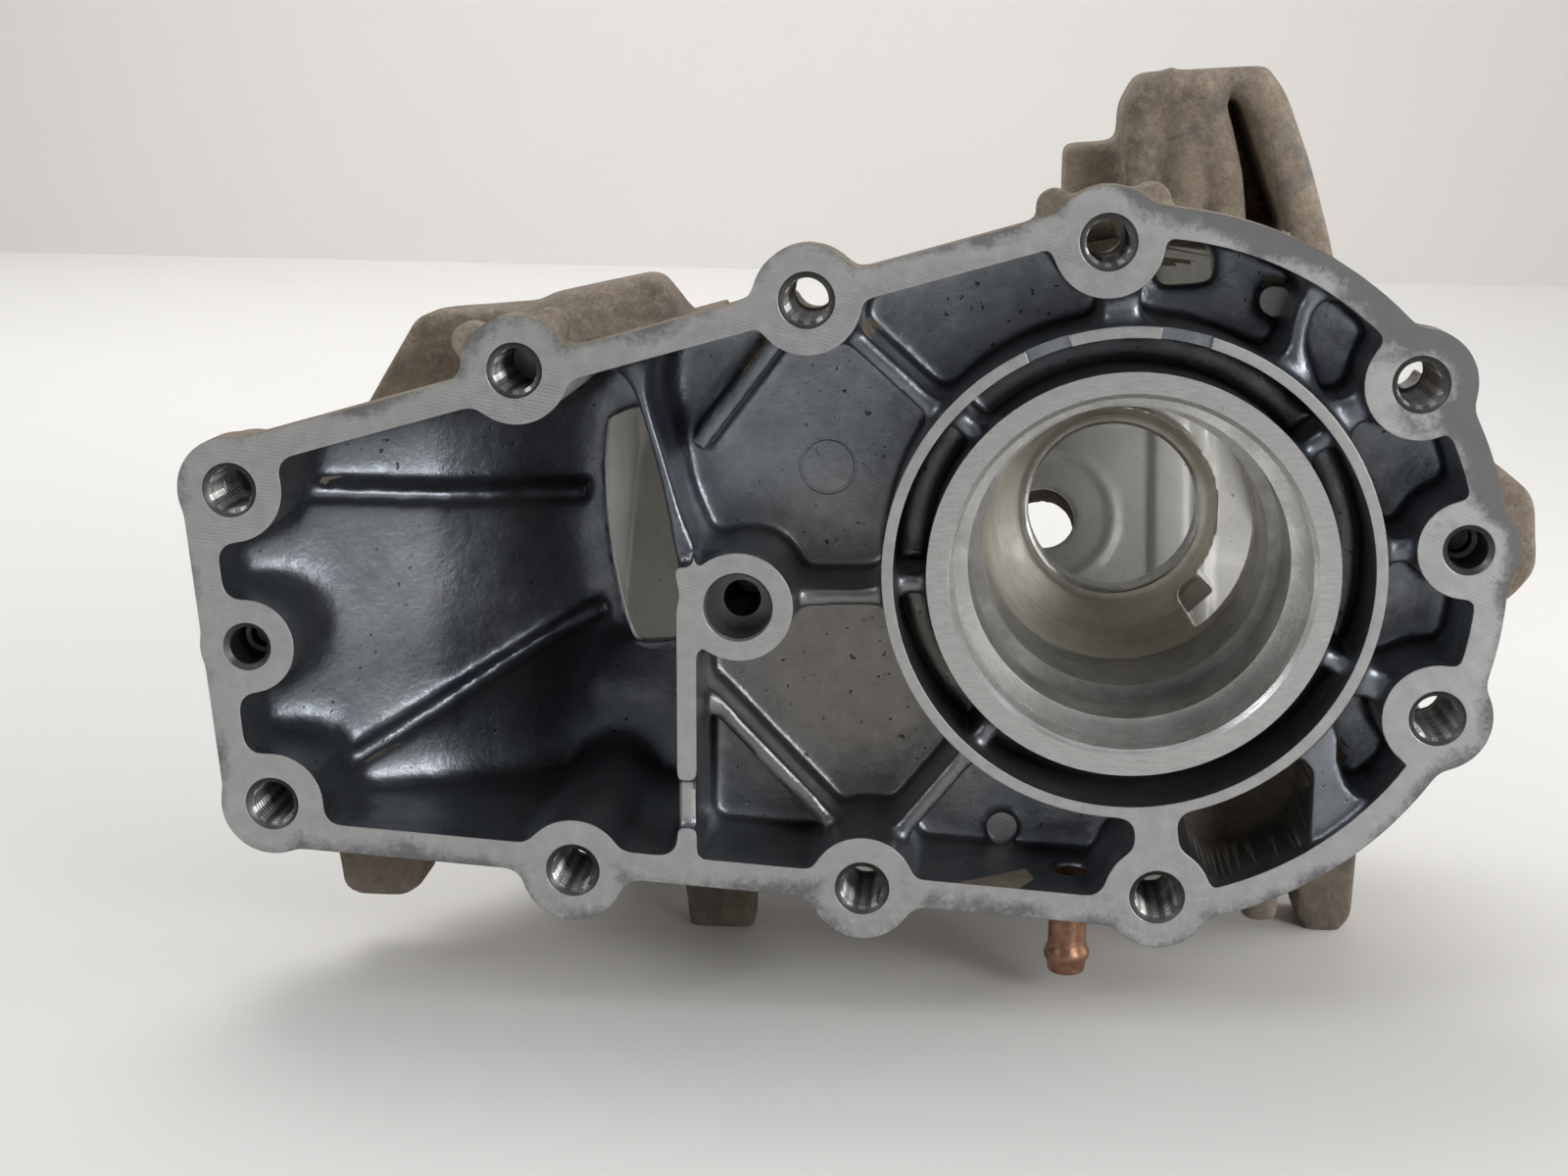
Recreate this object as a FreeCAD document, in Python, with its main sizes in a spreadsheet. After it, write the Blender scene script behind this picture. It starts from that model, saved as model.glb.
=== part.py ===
"""Gearbox housing: one light-alloy die casting with a pressed-in hose nipple.

Frame: millimetres, origin at the centre of the main bearing bore in the joint face.
+X runs to the right along the joint face, +Y into the housing along the bore, +Z up.
"""
import FreeCAD, Part
import math
import os
from FreeCAD import Placement, Rotation, Vector

doc = FreeCAD.newDocument("gearbox_housing")
sheet = doc.addObject("Spreadsheet::Sheet", "sizes")

SIZES = {
    # Joint flange: a round end about the bore, drawn out by tangents to two corners on the left
    "case_radius": 73.5,
    "corner_top_x": -195.3,
    "corner_top_z": 20.9,
    "corner_low_x": -187.6,
    "corner_low_z": -61.6,
    "corner_round": 9,
    "face_width": 6,
    "rim_depth": 10,
    "rim_step": 2.5,
    # Screw holes, tapped M10, and two holes for 8 mm dowels; those of the round end keep to its rim
    "hole_1_x": -184.4, "hole_1_z": 14.2,
    "hole_3_x": -178.2, "hole_3_z": -52.8,
    "hole_4_x": -124.6, "hole_4_z": 39.7,
    "hole_5_x": -114.2, "hole_5_z": -65.4,
    "hole_6_x": -65.8, "hole_6_z": 54.5,
    "hole_7_x": -53.4, "hole_7_z": -67.3,
    "hole_8_x": "=-0.0939 * case_radius", "hole_8_z": "=0.9048 * case_radius",
    "hole_9_x": "=0.1007 * case_radius", "hole_9_z": "=-0.9129 * case_radius",
    "hole_10_x": "=0.7401 * case_radius", "hole_10_z": "=0.5388 * case_radius",
    "hole_12_x": "=0.8381 * case_radius", "hole_12_z": "=-0.3741 * case_radius",
    "dowel_2_x": -182.1, "dowel_2_z": -18.8,
    "dowel_11_x": "=0.8912 * case_radius", "dowel_11_z": "=0.0952 * case_radius",
    "tap_radius": 4.3,
    "tap_chamfer": 1.1,
    "boss_radius": 11,
    "boss_depth": 23,
    "boss_draft": 1.2,
    "nub_radius": 3.8,
    "dowel_radius": 4,
    "dowel_depth": 12,
    "dowel_chamfer": 1,
    "dowel_boss_radius": 10,
    # Pivot boss in the middle of the flange, with its stepped blind hole and oil notch
    "pivot_x": -79.4,
    "pivot_z": -8,
    "pivot_boss_radius": 11.3,
    "pivot_radius": 6.7,
    "pivot_depth": 9,
    "pivot_core_radius": 3.9,
    "pivot_core_depth": 34,
    "pivot_boss_depth": 44,
    # Main bearing bore and the walls round it
    "seat_radius": 36,
    "seat_depth": 14,
    "seat_chamfer": 0.8,
    "shoulder_radius": 33,
    "shoulder_depth": 31,
    "throat_radius": 30.3,
    "throat_depth": 54,
    "barrel_radius": 41.3,
    "barrel_depth": 60,
    "groove_radius": 48,
    "groove_depth": 22,
    "ring_radius": 50.3,
    # Inner bearing carrier behind the main bore, closed on the left and open on the right
    "carrier_depth": 79,
    "carrier_thickness": 8,
    "carrier_bore_radius": 19.5,
    "carrier_radius": 24.5,
    "crescent_low": -52,
    "crescent_high": 88,
    "stub_angle": -46,
    "stub_width": 9,
    "stub_length": 7.5,
    # Pockets, ribs and spokes behind the joint face
    "pocket_depth": 30,
    "bay_depth": 24,
    "bean_depth": 21,
    "floor_thickness": 5,
    "web_drop": 4,
    "rib_drop": 8,
    "spoke_drop": 4.5,
    "ledge_drop": 2.5,
    "low_rib_drop": 17,
    "rib_width": 4,
    "bow_width": 3.6,
    "spoke_width": 5,
    # Left chamber with its sloping floor
    "chamber_wall": 5,
    "left_depth": 61,
    "left_rib_height": 5,
    # Rear chamber, with hoop ribs round it and gussets between it and the flange
    "rear_depth": 146,
    "rear_draft": 7,
    "rear_round": 14,
    "rail_height": 2.5,
    "rear_right": 52,
    "rear_left": -132,
    "rear_top": 70.5,
    "rear_low": -66,
    "rear_bevel": 5,
    "hoop_height": 3,
    "hoop_width": 4,
    "slant_top": 8,
    "slant_depth": 104,
    # Port in the slanted rear wall
    "port_x": -14.7,
    "port_z": -11.9,
    "port_radius": 8,
    "port_boss_radius": 15,
    "port_ridge_radius": 19,
    # Side opening with its cover face
    "window_length": 50,
    "window_height": 62,
    "window_y": 101,
    "window_z": 4,
    "window_pad": 9,
    "cover_tap_radius": 2.5,
    # Rear opening in the slanted wall, with its cover face
    "back_x": -80,
    "back_z": -24,
    "back_length": 52,
    "back_height": 52,
    "back_pad": 8,
    "back_rise": 4,
    # Feet and lugs
    "stand_height": 95,
    "foot_tap_radius": 3.4,
    # Hose nipple
    "nipple_x": -10.2,
    "nipple_y": 14,
    "nipple_radius": 4,
    "nipple_wall": 1,
    "nipple_bead": 4.9,
    "nipple_clear": 6,
    "nipple_grip": 6.5,
}
for row, (alias, value) in enumerate(SIZES.items(), start=1):
    sheet.set("A%d" % row, alias)
    sheet.set("B%d" % row, str(value))
    sheet.setAlias("B%d" % row, alias)
doc.recompute()


def size(alias):
    """The value that the sheet holds now."""
    return float(sheet.get(alias))


ALONG_BORE = Rotation(Vector(1, 0, 0), -90)
ALONG_X = Rotation(Vector(0, 1, 0), 90)
REAR_START = "sizes.pocket_depth + sizes.floor_thickness"
SCREW_HOLES = [1, 3, 4, 5, 6, 7, 8, 9, 10, 12]
DOWEL_HOLES = [2, 11]
OUTER_BOSSES = [1, 3]


def bind(item, expressions):
    """Tie properties of an object to expressions over the sheet."""
    for name, expression in expressions.items():
        item.setExpression(name, expression)
    return item


def cylinder(name, radius, length, x, y, z, turn=ALONG_BORE):
    """A cylinder whose sizes and place are sheet expressions."""
    item = doc.addObject("Part::Cylinder", name)
    item.Placement = Placement(Vector(), turn)
    return bind(item, {"Radius": radius, "Height": length, "Placement.Base.x": x,
                       "Placement.Base.y": y, "Placement.Base.z": z})


def cone(name, radius, end_radius, length, x, y, z, turn=ALONG_BORE):
    """A cone frustum whose sizes and place are sheet expressions."""
    item = doc.addObject("Part::Cone", name)
    item.Placement = Placement(Vector(), turn)
    return bind(item, {"Radius1": radius, "Radius2": end_radius, "Height": length,
                       "Placement.Base.x": x, "Placement.Base.y": y, "Placement.Base.z": z})


def box(name, x, y, z, length, width, height):
    """A box whose sizes and place are sheet expressions."""
    item = doc.addObject("Part::Box", name)
    return bind(item, {"Length": length, "Width": width, "Height": height,
                       "Placement.Base.x": x, "Placement.Base.y": y, "Placement.Base.z": z})


def fused(name, items):
    """One boolean union of several objects."""
    item = doc.addObject("Part::MultiFuse", name)
    item.Shapes = items
    return item


def cut(name, base, tool):
    """One boolean difference."""
    item = doc.addObject("Part::Cut", name)
    item.Base = base
    item.Tool = tool
    return item


def common(name, base, tool):
    """One boolean intersection."""
    item = doc.addObject("Part::Common", name)
    item.Base = base
    item.Tool = tool
    return item


def held(name, shape):
    """A computed shape as an object of the document."""
    item = doc.addObject("Part::Feature", name)
    item.Shape = shape
    return item


def on_round(x, z):
    """A point of the round end, given in parts of the case radius."""
    return x * size("case_radius"), z * size("case_radius")


def spot(x, z):
    """A point of the joint plane."""
    return Vector(x, 0, z)


def flat(points):
    """A face in the joint plane with straight sides."""
    corners = [spot(x, z) for x, z in points]
    return Part.Face(Part.makePolygon(corners + corners[:1]))


def disc(x, z, radius):
    """A round face in the joint plane."""
    return Part.Face(Part.Wire(Part.Circle(spot(x, z), Vector(0, -1, 0), radius).toShape()))


def strip(start, end, width):
    """A straight strip between two points of the joint plane."""
    a = spot(*start)
    b = spot(*end)
    along = (b - a).normalize()
    side = Vector(-along.z, 0, along.x) * (width / 2)
    return flat([(p.x, p.z) for p in (a + side, b + side, b - side, a - side)])


def offset(face, distance):
    """The face grown or shrunk, with round corners."""
    return face.makeOffset2D(distance, 0, False, False, False)


def largest(shape):
    """The largest face of a flat shape."""
    return max(shape.Faces, key=lambda face: face.Area)


def opened(face, radius):
    """The face with its outer corners rounded."""
    return largest(offset(largest(offset(face, -radius)), radius))


def closed(face, radius):
    """The face with its inner corners rounded."""
    return largest(offset(largest(offset(face, radius)), -radius))


def joined(faces):
    """The union of faces of the joint plane, as one face."""
    slabs = [face.extrude(Vector(0, 1, 0)) for face in faces]
    solid = slabs[0].multiFuse(slabs[1:]).removeSplitter()
    return largest(Part.Compound([f for f in solid.Faces if f.BoundBox.YMax < 0.001]))


def containing(shape, x, z):
    """The face of a flat shape that holds a point."""
    for face in shape.Faces:
        if face.isInside(spot(x, z), 0.001, True):
            return face
    raise ValueError("no face at %.1f, %.1f" % (x, z))


def prism(name, face, start, depth):
    """A flat profile drawn into the housing from one depth by a given length."""
    item = doc.addObject("Part::Extrusion", name)
    item.Base = held(name + "_profile", face)
    item.DirMode = "Custom"
    item.Dir = Vector(0, 1, 0)
    item.Solid = True
    return bind(item, {"LengthFwd": depth, "Placement.Base.y": start})


def hole_centre(number):
    """Centre of a numbered hole of the flange."""
    kind = "dowel" if number in DOWEL_HOLES else "hole"
    return size("%s_%d_x" % (kind, number)), size("%s_%d_z" % (kind, number))


def hole_cells(number):
    """The two sheet expressions for the centre of a numbered hole."""
    kind = "dowel" if number in DOWEL_HOLES else "hole"
    return "sizes.%s_%d_x" % (kind, number), "sizes.%s_%d_z" % (kind, number)


def near(number, dx, dz):
    """A point placed from a numbered hole."""
    x, z = hole_centre(number)
    return x + dx, z + dz


def boss_disc(number):
    """The machined face of a boss."""
    radius = size("dowel_boss_radius") if number in DOWEL_HOLES else size("boss_radius")
    return disc(*hole_centre(number), radius)


# Outline of the joint flange
def tangent_point(x, z, side):
    """Where the tangent from a corner meets the round end, above or below."""
    distance = math.hypot(x, z)
    turn = math.acos(size("case_radius") / distance)
    angle = math.atan2(z, x) + side * turn
    return size("case_radius") * math.cos(angle), size("case_radius") * math.sin(angle)


top_corner = (size("corner_top_x"), size("corner_top_z"))
low_corner = (size("corner_low_x"), size("corner_low_z"))
tail = flat([top_corner, tangent_point(*top_corner, -1), tangent_point(*low_corner, 1), low_corner])
outline = opened(joined([tail, disc(0, 0, size("case_radius"))]), size("corner_round"))
bosses = [boss_disc(number) for number in SCREW_HOLES + DOWEL_HOLES]
flange_face = closed(joined([outline] + bosses), 4)
inside = offset(outline, -size("face_width")).Faces[0]
shell_face = offset(outline, -size("rim_step")).Faces[0]

# What stands between the pockets
pivot = (size("pivot_x"), size("pivot_z"))
pivot_disc = disc(*pivot, size("pivot_boss_radius"))
ring_disc = disc(0, 0, size("ring_radius"))
neck = flat([(2.5, -49), (10.5, -49), near(9, 5, 4), near(9, -5, 4)])
lower_wall = flat([(pivot[0] - 12.6, pivot[1]), (pivot[0] - 8.6, pivot[1]), (pivot[0] - 8.6, -68),
                   (pivot[0] - 12.6, -68)])
upper_web = flat([(pivot[0] - 12, pivot[1] + 3), (-95.5, 13), (-99.8, 29), (-103, 38), (-107, 50),
                  (-97, 50), (-98, 34), (-95, 23), (-92, 12), (pivot[0] - 7, pivot[1] + 6)])
standing = [boss_disc(number) for number in SCREW_HOLES + DOWEL_HOLES]
standing += [pivot_disc, ring_disc, neck, lower_wall]
open_area = inside.cut(standing)

# Walls, ribs and spokes that part the pockets, as seen on the joint face
rib_width = size("rib_width")
spoke_width = size("spoke_width")
bow_width = size("bow_width")
ledge = flat([on_round(0.517, -0.422), on_round(0.578, -0.299), on_round(0.680, -0.299),
              on_round(0.816, -0.490), on_round(0.653, -0.789), on_round(0.517, -0.844)])
walls = [
    upper_web,
    strip(hole_centre(6), (-38.5, 30.2), rib_width),
    strip(pivot, (-46, pivot[1] + 1.2), rib_width),
    strip(hole_centre(7), (-31, -39), rib_width),
    strip(near(8, 4.5, 0), near(8, 4.5, -19.5), spoke_width),
    strip(hole_centre(10), on_round(0.524, 0.446), spoke_width),
    strip(hole_centre(11), on_round(0.639, 0.068), spoke_width),
    strip(hole_centre(12), on_round(0.619, -0.259), spoke_width),
    strip(on_round(0.469, 0.490), on_round(0.416, 0.626), bow_width),
    strip(on_round(0.416, 0.612), on_round(0.435, 0.735), bow_width),
    strip(on_round(0.431, 0.721), on_round(0.544, 0.871), bow_width),
    ledge,
]
rooms = open_area.cut(walls)


def bay(x, z, corner=3.4, nook=3.5):
    """One pocket: the room that holds a point, round at every upright corner."""
    return closed(opened(containing(rooms, x, z), corner), nook)


BAYS = [
    ("bay_above_ring", (-35, 50), "sizes.pocket_depth"),
    ("bay_upper_middle", (-62, 20), "sizes.pocket_depth"),
    ("bay_lower_middle", (-65, -25), "sizes.pocket_depth"),
    ("bay_below_ring", (-20, -58), "sizes.pocket_depth"),
    ("bay_top_right", on_round(0.204, 0.762), "sizes.pocket_depth"),
    ("bay_right_upper", on_round(0.748, 0.272), "sizes.bay_depth"),
    ("bay_right_lower", on_round(0.789, -0.109), "sizes.bay_depth"),
    ("bay_low_right", on_round(0.340, -0.707), "sizes.pocket_depth"),
    ("bean_upper", on_round(0.531, 0.626), "sizes.bean_depth"),
]
pockets = [prism(name, bay(*place), "0", depth) for name, place, depth in BAYS]
low_bean = flat([on_round(0.576, -0.408), on_round(0.599, -0.348), on_round(0.707, -0.313),
                 on_round(0.776, -0.490), on_round(0.748, -0.558), on_round(0.667, -0.626),
                 on_round(0.619, -0.599), on_round(0.585, -0.517)]).common(open_area)
pockets.append(prism("bean_lower", closed(opened(largest(low_bean), 3.4), 3.5), "0", "sizes.bean_depth"))

# The tops of the web, ribs, spokes and ledge lie below the joint face
CRESTS = [
    ("web_top", [(-112, 52), (-88.5, 52), (-88.5, 0), (-112, 0)], "sizes.web_drop"),
    ("rib_tops", [(-88.4, 66), (-20, 66), (-20, -70), (-88.4, -70)], "sizes.rib_drop"),
    ("spoke_tops", [(-20, 72), (72, 72), (72, -30), (-20, -30)], "sizes.spoke_drop"),
    ("ledge_top", [(12, -30), (72, -30), (72, -72), (12, -72)], "sizes.ledge_drop"),
]
crests = []
for name, mask, drop in CRESTS:
    area = flat(mask).common(open_area)
    for number, face in enumerate(area.Faces, start=1):
        crests.append(prism("%s_%d" % (name, number), face, "0", drop))

# Left chamber: the joint outline carried back to a floor that slopes to the right
left_face = closed(opened(containing(rooms, -140, 0), 3.6), 4)
left_depth = size("left_depth")
floor_line = [Vector(x, y, 0) for x, y in (
    (-210, 10), (-192, 12), (-176, 23), (-150, 37), (-128, left_depth - 6), (-120, left_depth),
    (-86, left_depth), (-86, -1), (-210, -1))]
floor_plan = opened(closed(Part.Face(Part.makePolygon(floor_line + floor_line[:1])), 14), 0.5)
outer_plan = offset(floor_plan, size("chamber_wall")).Faces[0]
crest_plan = offset(floor_plan, -size("left_rib_height")).Faces[0]
left_half = flat([(-220, 60), (-88, 60), (-88, -80), (-220, -80)])
right_half = flat([(-98, 90), (90, 90), (90, -90), (-98, -90)])


def upright(name, plan):
    """A plan profile drawn through the whole height of the case."""
    item = doc.addObject("Part::Extrusion", name)
    item.Base = held(name + "_profile", plan)
    item.DirMode = "Custom"
    item.Dir = Vector(0, 0, 1)
    item.Solid = True
    return bind(item, {"LengthFwd": "2 * sizes.stand_height", "Placement.Base.z": "-sizes.stand_height"})


def gusset(name, plan, z):
    """A level plate between the flange and the rear chamber."""
    item = doc.addObject("Part::Extrusion", name)
    item.Base = held(name + "_profile", plan)
    item.DirMode = "Custom"
    item.Dir = Vector(0, 0, 1)
    item.Solid = True
    return bind(item, {"LengthFwd": "sizes.hoop_width", "Placement.Base.z": "%s - sizes.hoop_width / 2" % z})


gusset_line = [Vector(x, y, 0) for x, y in ((-188, 12), (-125, 12), (-125, 100), (-130, 98), (-184, 24))]
gusset_plan = Part.Face(Part.makePolygon(gusset_line + gusset_line[:1]))
gussets = [gusset("gusset_%d" % number, gusset_plan, z)
           for number, z in enumerate(("10", "sizes.dowel_2_z", "-48"), start=1)]
left_core = common("left_core", prism("left_bore", left_face, "-1", "sizes.left_depth + 10"),
                   upright("left_floor", floor_plan))
left_back = upright("left_back", outer_plan)
left_shell = common("left_shell", prism("left_wall", shell_face.common(left_half).Faces[0], "0",
                                        "sizes.left_depth + 20"), left_back)
middle_shell = prism("middle_shell", shell_face.common(right_half).Faces[0], "0", REAR_START)
rim = prism("rim", flange_face, "0", "sizes.rim_depth")

# Cast nubs beside two of the bosses, a little below the machined face
nubs = []
for number, dx, dz in ((4, -9.5, 5.5), (4, 6.5, 8.5), (8, -10.5, 6.3), (8, 8.2, 7.8)):
    x, z = hole_cells(number)
    nubs.append(cylinder("nub_%d" % len(nubs), "sizes.nub_radius", "sizes.rim_depth - 1",
                         "%s + %s" % (x, dx), "1", "%s + %s" % (z, dz)))

# Columns of the screw and dowel bosses
columns = []
for number in SCREW_HOLES:
    x, z = hole_cells(number)
    columns.append(cone("boss_%d" % number, "sizes.boss_radius", "sizes.boss_radius - sizes.boss_draft",
                        "sizes.boss_depth", x, "0", z))
for number in DOWEL_HOLES:
    x, z = hole_cells(number)
    columns.append(cone("boss_%d" % number, "sizes.dowel_boss_radius",
                        "sizes.dowel_boss_radius + sizes.boss_draft", "sizes.boss_depth", x, "0", z))

# Rear chamber: a drafted box behind the middle and right of the flange
right, left = size("rear_right"), size("rear_left")
top, low = size("rear_top"), size("rear_low")
wall = size("chamber_wall")
draft = size("rear_draft")
rear_start, rear_depth = size("pocket_depth") + size("floor_thickness"), size("rear_depth")
rear_outline = flat([(right, top - 19), (right - 12, top - 7), (-2, top), (-26, top - 5), (-72, top - 27),
                     (left, top - 39), (left, low), (right, low)])
rear_outline = closed(opened(rear_outline, size("rear_round")), size("rear_round"))


def drafted(name, face, grow, start, end, bevel):
    """A tapering box behind the joint face, grown or shrunk from one profile, its back edges bevelled."""
    sections = []
    stations = (("front", 0, start), ("back", draft, end - bevel), ("end", draft + bevel, end))
    for part, inset, depth in stations:
        profile = offset(face, grow - inset)
        wire = profile.OuterWire.copy()
        wire.translate(Vector(0, depth, 0))
        sections.append(held("%s_%s" % (name, part), wire))
    item = doc.addObject("Part::Loft", name)
    item.Sections = sections
    item.Solid = True
    item.Ruled = True
    return item


def side_face(points):
    """A face given in depth and height."""
    corners = [Vector(0, y, z) for y, z in points]
    return Part.Face(Part.makePolygon(corners + corners[:1]))


def across(name, face, start="-200", length="300"):
    """A side profile drawn along X."""
    item = doc.addObject("Part::Extrusion", name)
    item.Base = held(name + "_profile", face)
    item.DirMode = "Custom"
    item.Dir = Vector(1, 0, 0)
    item.Solid = True
    return bind(item, {"LengthFwd": length, "Placement.Base.x": start})


bevel, hoop = size("rear_bevel"), size("hoop_height")
rear_box = drafted("rear_box", rear_outline, -0.001, rear_start - 3, rear_depth, bevel)
rear_room = drafted("rear_room", rear_outline, -wall, rear_start, rear_depth - wall, bevel)
rear_skin = drafted("rear_skin", rear_outline, hoop, rear_start - 3, rear_depth + hoop, bevel)
slant_top, slant_depth = size("slant_top"), size("slant_depth")
slant_face = side_face([(rear_depth + 30, top + 30), (rear_depth, top + 30), (rear_depth, slant_top),
                        (slant_depth, low - 8), (slant_depth - 6, low - 30), (rear_depth + 30, low - 30)])
rear_outer = cut("rear_outer", rear_box, across("slant_outer", slant_face))
rear_inner = cut("rear_inner", rear_room, across("slant_inner", offset(slant_face, wall).Faces[0]))
hoop_skin = cut("hoop_skin", rear_skin, across("slant_hoops", offset(slant_face, -hoop).Faces[0]))
HOOPS = [("-104", "160"), ("-50", "160"), ("12", "150")]
hoops = []
for number, (x, height) in enumerate(HOOPS, start=1):
    slab = box("hoop_slab_%d" % number, x, "0", "-100", "sizes.hoop_width", "200", height)
    hoops.append(common("hoop_%d" % number, hoop_skin, slab))
hoops.append(common("hoop_level", hoop_skin, box("hoop_slab_level", "-140", "0", "26", "184", "200",
                                                 "sizes.hoop_width")))
keep_left = box("keep_left", "-200", "0", "-100", "200 - 87", "sizes.left_depth + sizes.chamber_wall", "200")
rear_inner = cut("rear_void", rear_inner, keep_left)

# Machined rails on the rear wall inside
rail_face = offset(slant_face, wall + size("rail_height")).Faces[0]
rails = [common("rail_%d" % number, across("rail_body_%d" % number, rail_face, x, width), rear_inner)
         for number, (x, width) in enumerate((("12.8", "8.6"), ("23.4", "4")), start=1)]

# Slanted port: boss outside, ridge inside
slant_run = Vector(0, rear_depth - slant_depth, slant_top - low + 8).normalize()
port_way = Vector(0, slant_run.z, -slant_run.y)
port_turn = Rotation(Vector(0, 0, 1), port_way)
port_depth = (rear_depth - (slant_top - size("port_z")) * slant_run.y / slant_run.z
              - wall / port_way.y)
port_foot = Vector(size("port_x"), port_depth, size("port_z"))


def along_port(name, radius, start, length):
    """A cylinder on the port's axis, from a distance off the inner wall."""
    item = doc.addObject("Part::Cylinder", name)
    item.Placement = Placement(port_foot + port_way * start, port_turn)
    return bind(item, {"Radius": radius, "Height": length})


port_boss = along_port("port_boss", "sizes.port_boss_radius", 1, "sizes.chamber_wall + 8")
port_ridge = cut("port_ridge", along_port("port_rim", "sizes.port_ridge_radius", -1.5, "4"),
                 along_port("port_dish", "sizes.port_ridge_radius - 2.2", -3, "3"))
port_bore = along_port("port_bore", "sizes.port_radius", -4, "40")

# Side opening with its machined pad
window_y, window_z = size("window_y"), size("window_z")
window_length, window_height = size("window_length"), size("window_height")
pad = size("window_pad")


def side_plate(length, height, corner):
    """A rectangle with round corners about the middle of the side opening."""
    y, z = length / 2, height / 2
    plate = side_face([(window_y - y, window_z - z), (window_y + y, window_z - z),
                       (window_y + y, window_z + z), (window_y - y, window_z + z)])
    return opened(plate, corner)


cover_pad = across("cover_pad", side_plate(window_length + 2 * pad, window_height + 2 * pad, pad),
                   "sizes.rear_right - 12", "14.5")
cover_hole = across("cover_hole", side_plate(window_length, window_height, 8),
                    "sizes.rear_right - 25", "40")
cover_taps = []
for side_y in (-1, 1):
    for side_z in (-1, 1):
        cover_taps.append(cylinder(
            "cover_tap_%d" % len(cover_taps), "sizes.cover_tap_radius", "14", "sizes.rear_right - 9",
            "sizes.window_y + %d * (sizes.window_length + sizes.window_pad) / 2" % side_y,
            "sizes.window_z + %d * (sizes.window_height + sizes.window_pad) / 2" % side_z, ALONG_X))

# Rear opening in the slanted wall with its machined pad
back_turn = Rotation(Vector(0, 0, 1), slant_run)
back_middle = Vector(size("back_x"), rear_depth - (slant_top - size("back_z")) * slant_run.y / slant_run.z,
                     size("back_z"))


def back_plate(name, grow, corner, start, length):
    """A plate with round corners drawn along the normal of the slanted wall."""
    x, z = size("back_length") / 2 + grow, size("back_height") / 2 + grow
    plate = opened(flat([(-x, -z), (x, -z), (x, z), (-x, z)]), corner)
    plate.Placement = Placement(back_middle + port_way * start, back_turn)
    item = doc.addObject("Part::Extrusion", name)
    item.Base = held(name + "_profile", plate)
    item.DirMode = "Custom"
    item.Dir = port_way
    item.Solid = True
    return bind(item, {"LengthFwd": length})


back_pad = back_plate("back_pad", size("back_pad"), size("back_pad"), -wall + 1, "sizes.back_rise + 4")
back_hole = back_plate("back_hole", 0, 8, -2 * wall, "sizes.back_rise + 20")
back_taps = []
for side_x in (-1, 1):
    for side_z in (-1, 1):
        reach_x = side_x * (size("back_length") + size("back_pad")) / 2
        reach_z = side_z * (size("back_height") + size("back_pad")) / 2
        tap = doc.addObject("Part::Cylinder", "back_tap_%d" % len(back_taps))
        tap.Placement = Placement(back_middle + Vector(reach_x, 0, 0) + slant_run * reach_z
                                  - port_way * 3.5, port_turn)
        back_taps.append(bind(tap, {"Radius": "sizes.cover_tap_radius", "Height": "sizes.back_rise + 4.5"}))

# Feet and lugs under the case
stand = -size("stand_height")
block_foot = prism("block_foot", flat([(-98.5, low + 8), (-98.5, low - 8), (-95.5, stand), (-81, stand),
                                       (-80.3, low + 8)]), "49", "15")
lug_foot = prism("lug_foot", opened(flat([(44, low + 22), (44, stand), (57, stand), (59, -44),
                                          (50, -44)]), 4), "60", "18")
rear_feet = []
for name, x in (("foot_left", -112), ("foot_right", 28)):
    rear_feet.append(prism(name, opened(flat([(x - 15, low + 8), (x - 9, stand), (x + 9, stand),
                                              (x + 15, low + 8)]), 1.5), "82", "19"))
foot_taps = [cylinder("foot_tap_%d" % number, "sizes.foot_tap_radius", "16", x, "92",
                      "-sizes.stand_height - 1", Rotation())
             for number, x in enumerate(("-112", "28"), start=1)]
hanging_boss = prism("hanging_boss", opened(flat([(-173, -56), (-170, -79), (-167, -80.8), (-156, -80.8),
                                                  (-152, -78), (-149, -56)]), 2), "22", "17")
small_boss = cylinder("small_boss", "4.3", "26", "32", "31", "-82", Rotation())

# Lugs on top and at the right
top_lug = prism("top_lug", opened(flat([(-1.3, 50), (-1.3, 91.7), (2.5, 99), (29.5, 100.6), (31.4, 96.5),
                                        (35.2, 87), (39.9, 71.9), (44, 52)]), 3.5), "62", "38")
top_recess = prism("top_recess", opened(flat([(17.6, 94), (22.8, 94), (34.5, 64), (25.2, 64)]), 2), "60",
                   "28")
top_ridge = cone("top_ridge", "5.5", "3.2", "40", "12", "63", "58", Rotation())
side_block = prism("side_block", flat([(-13.6, 50), (-13.6, 83), (6, 84), (6, 50)]), "74", "24")
lug_a = prism("lug_a", opened(flat([(-166, 20), (-161.9, 30), (-151.5, 47.2), (-148, 48.2), (-122, 50.4),
                                    (-122, 30)]), 1.5), "28", "18")
lug_b_slope = cut("lug_b_slope", prism("lug_b", opened(flat([
    (-136, 30), (-131, 45), (-125, 51.4), (-102, 56.5), (-99.5, 55.5), (-92, 46), (-92, 34)]), 2),
    "24", "24"), across("lug_b_cut", side_face([(10, 40), (24, 44), (33, 60), (10, 70)])))
ear = prism("ear", opened(flat([(56, 26), (74.9, 20.6), (82.8, 14.4), (84.2, 11.5), (85.3, -0.6),
                                (84.7, -3.4), (79.8, -9.2), (56, -16)]), 1), "26", "8")

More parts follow.
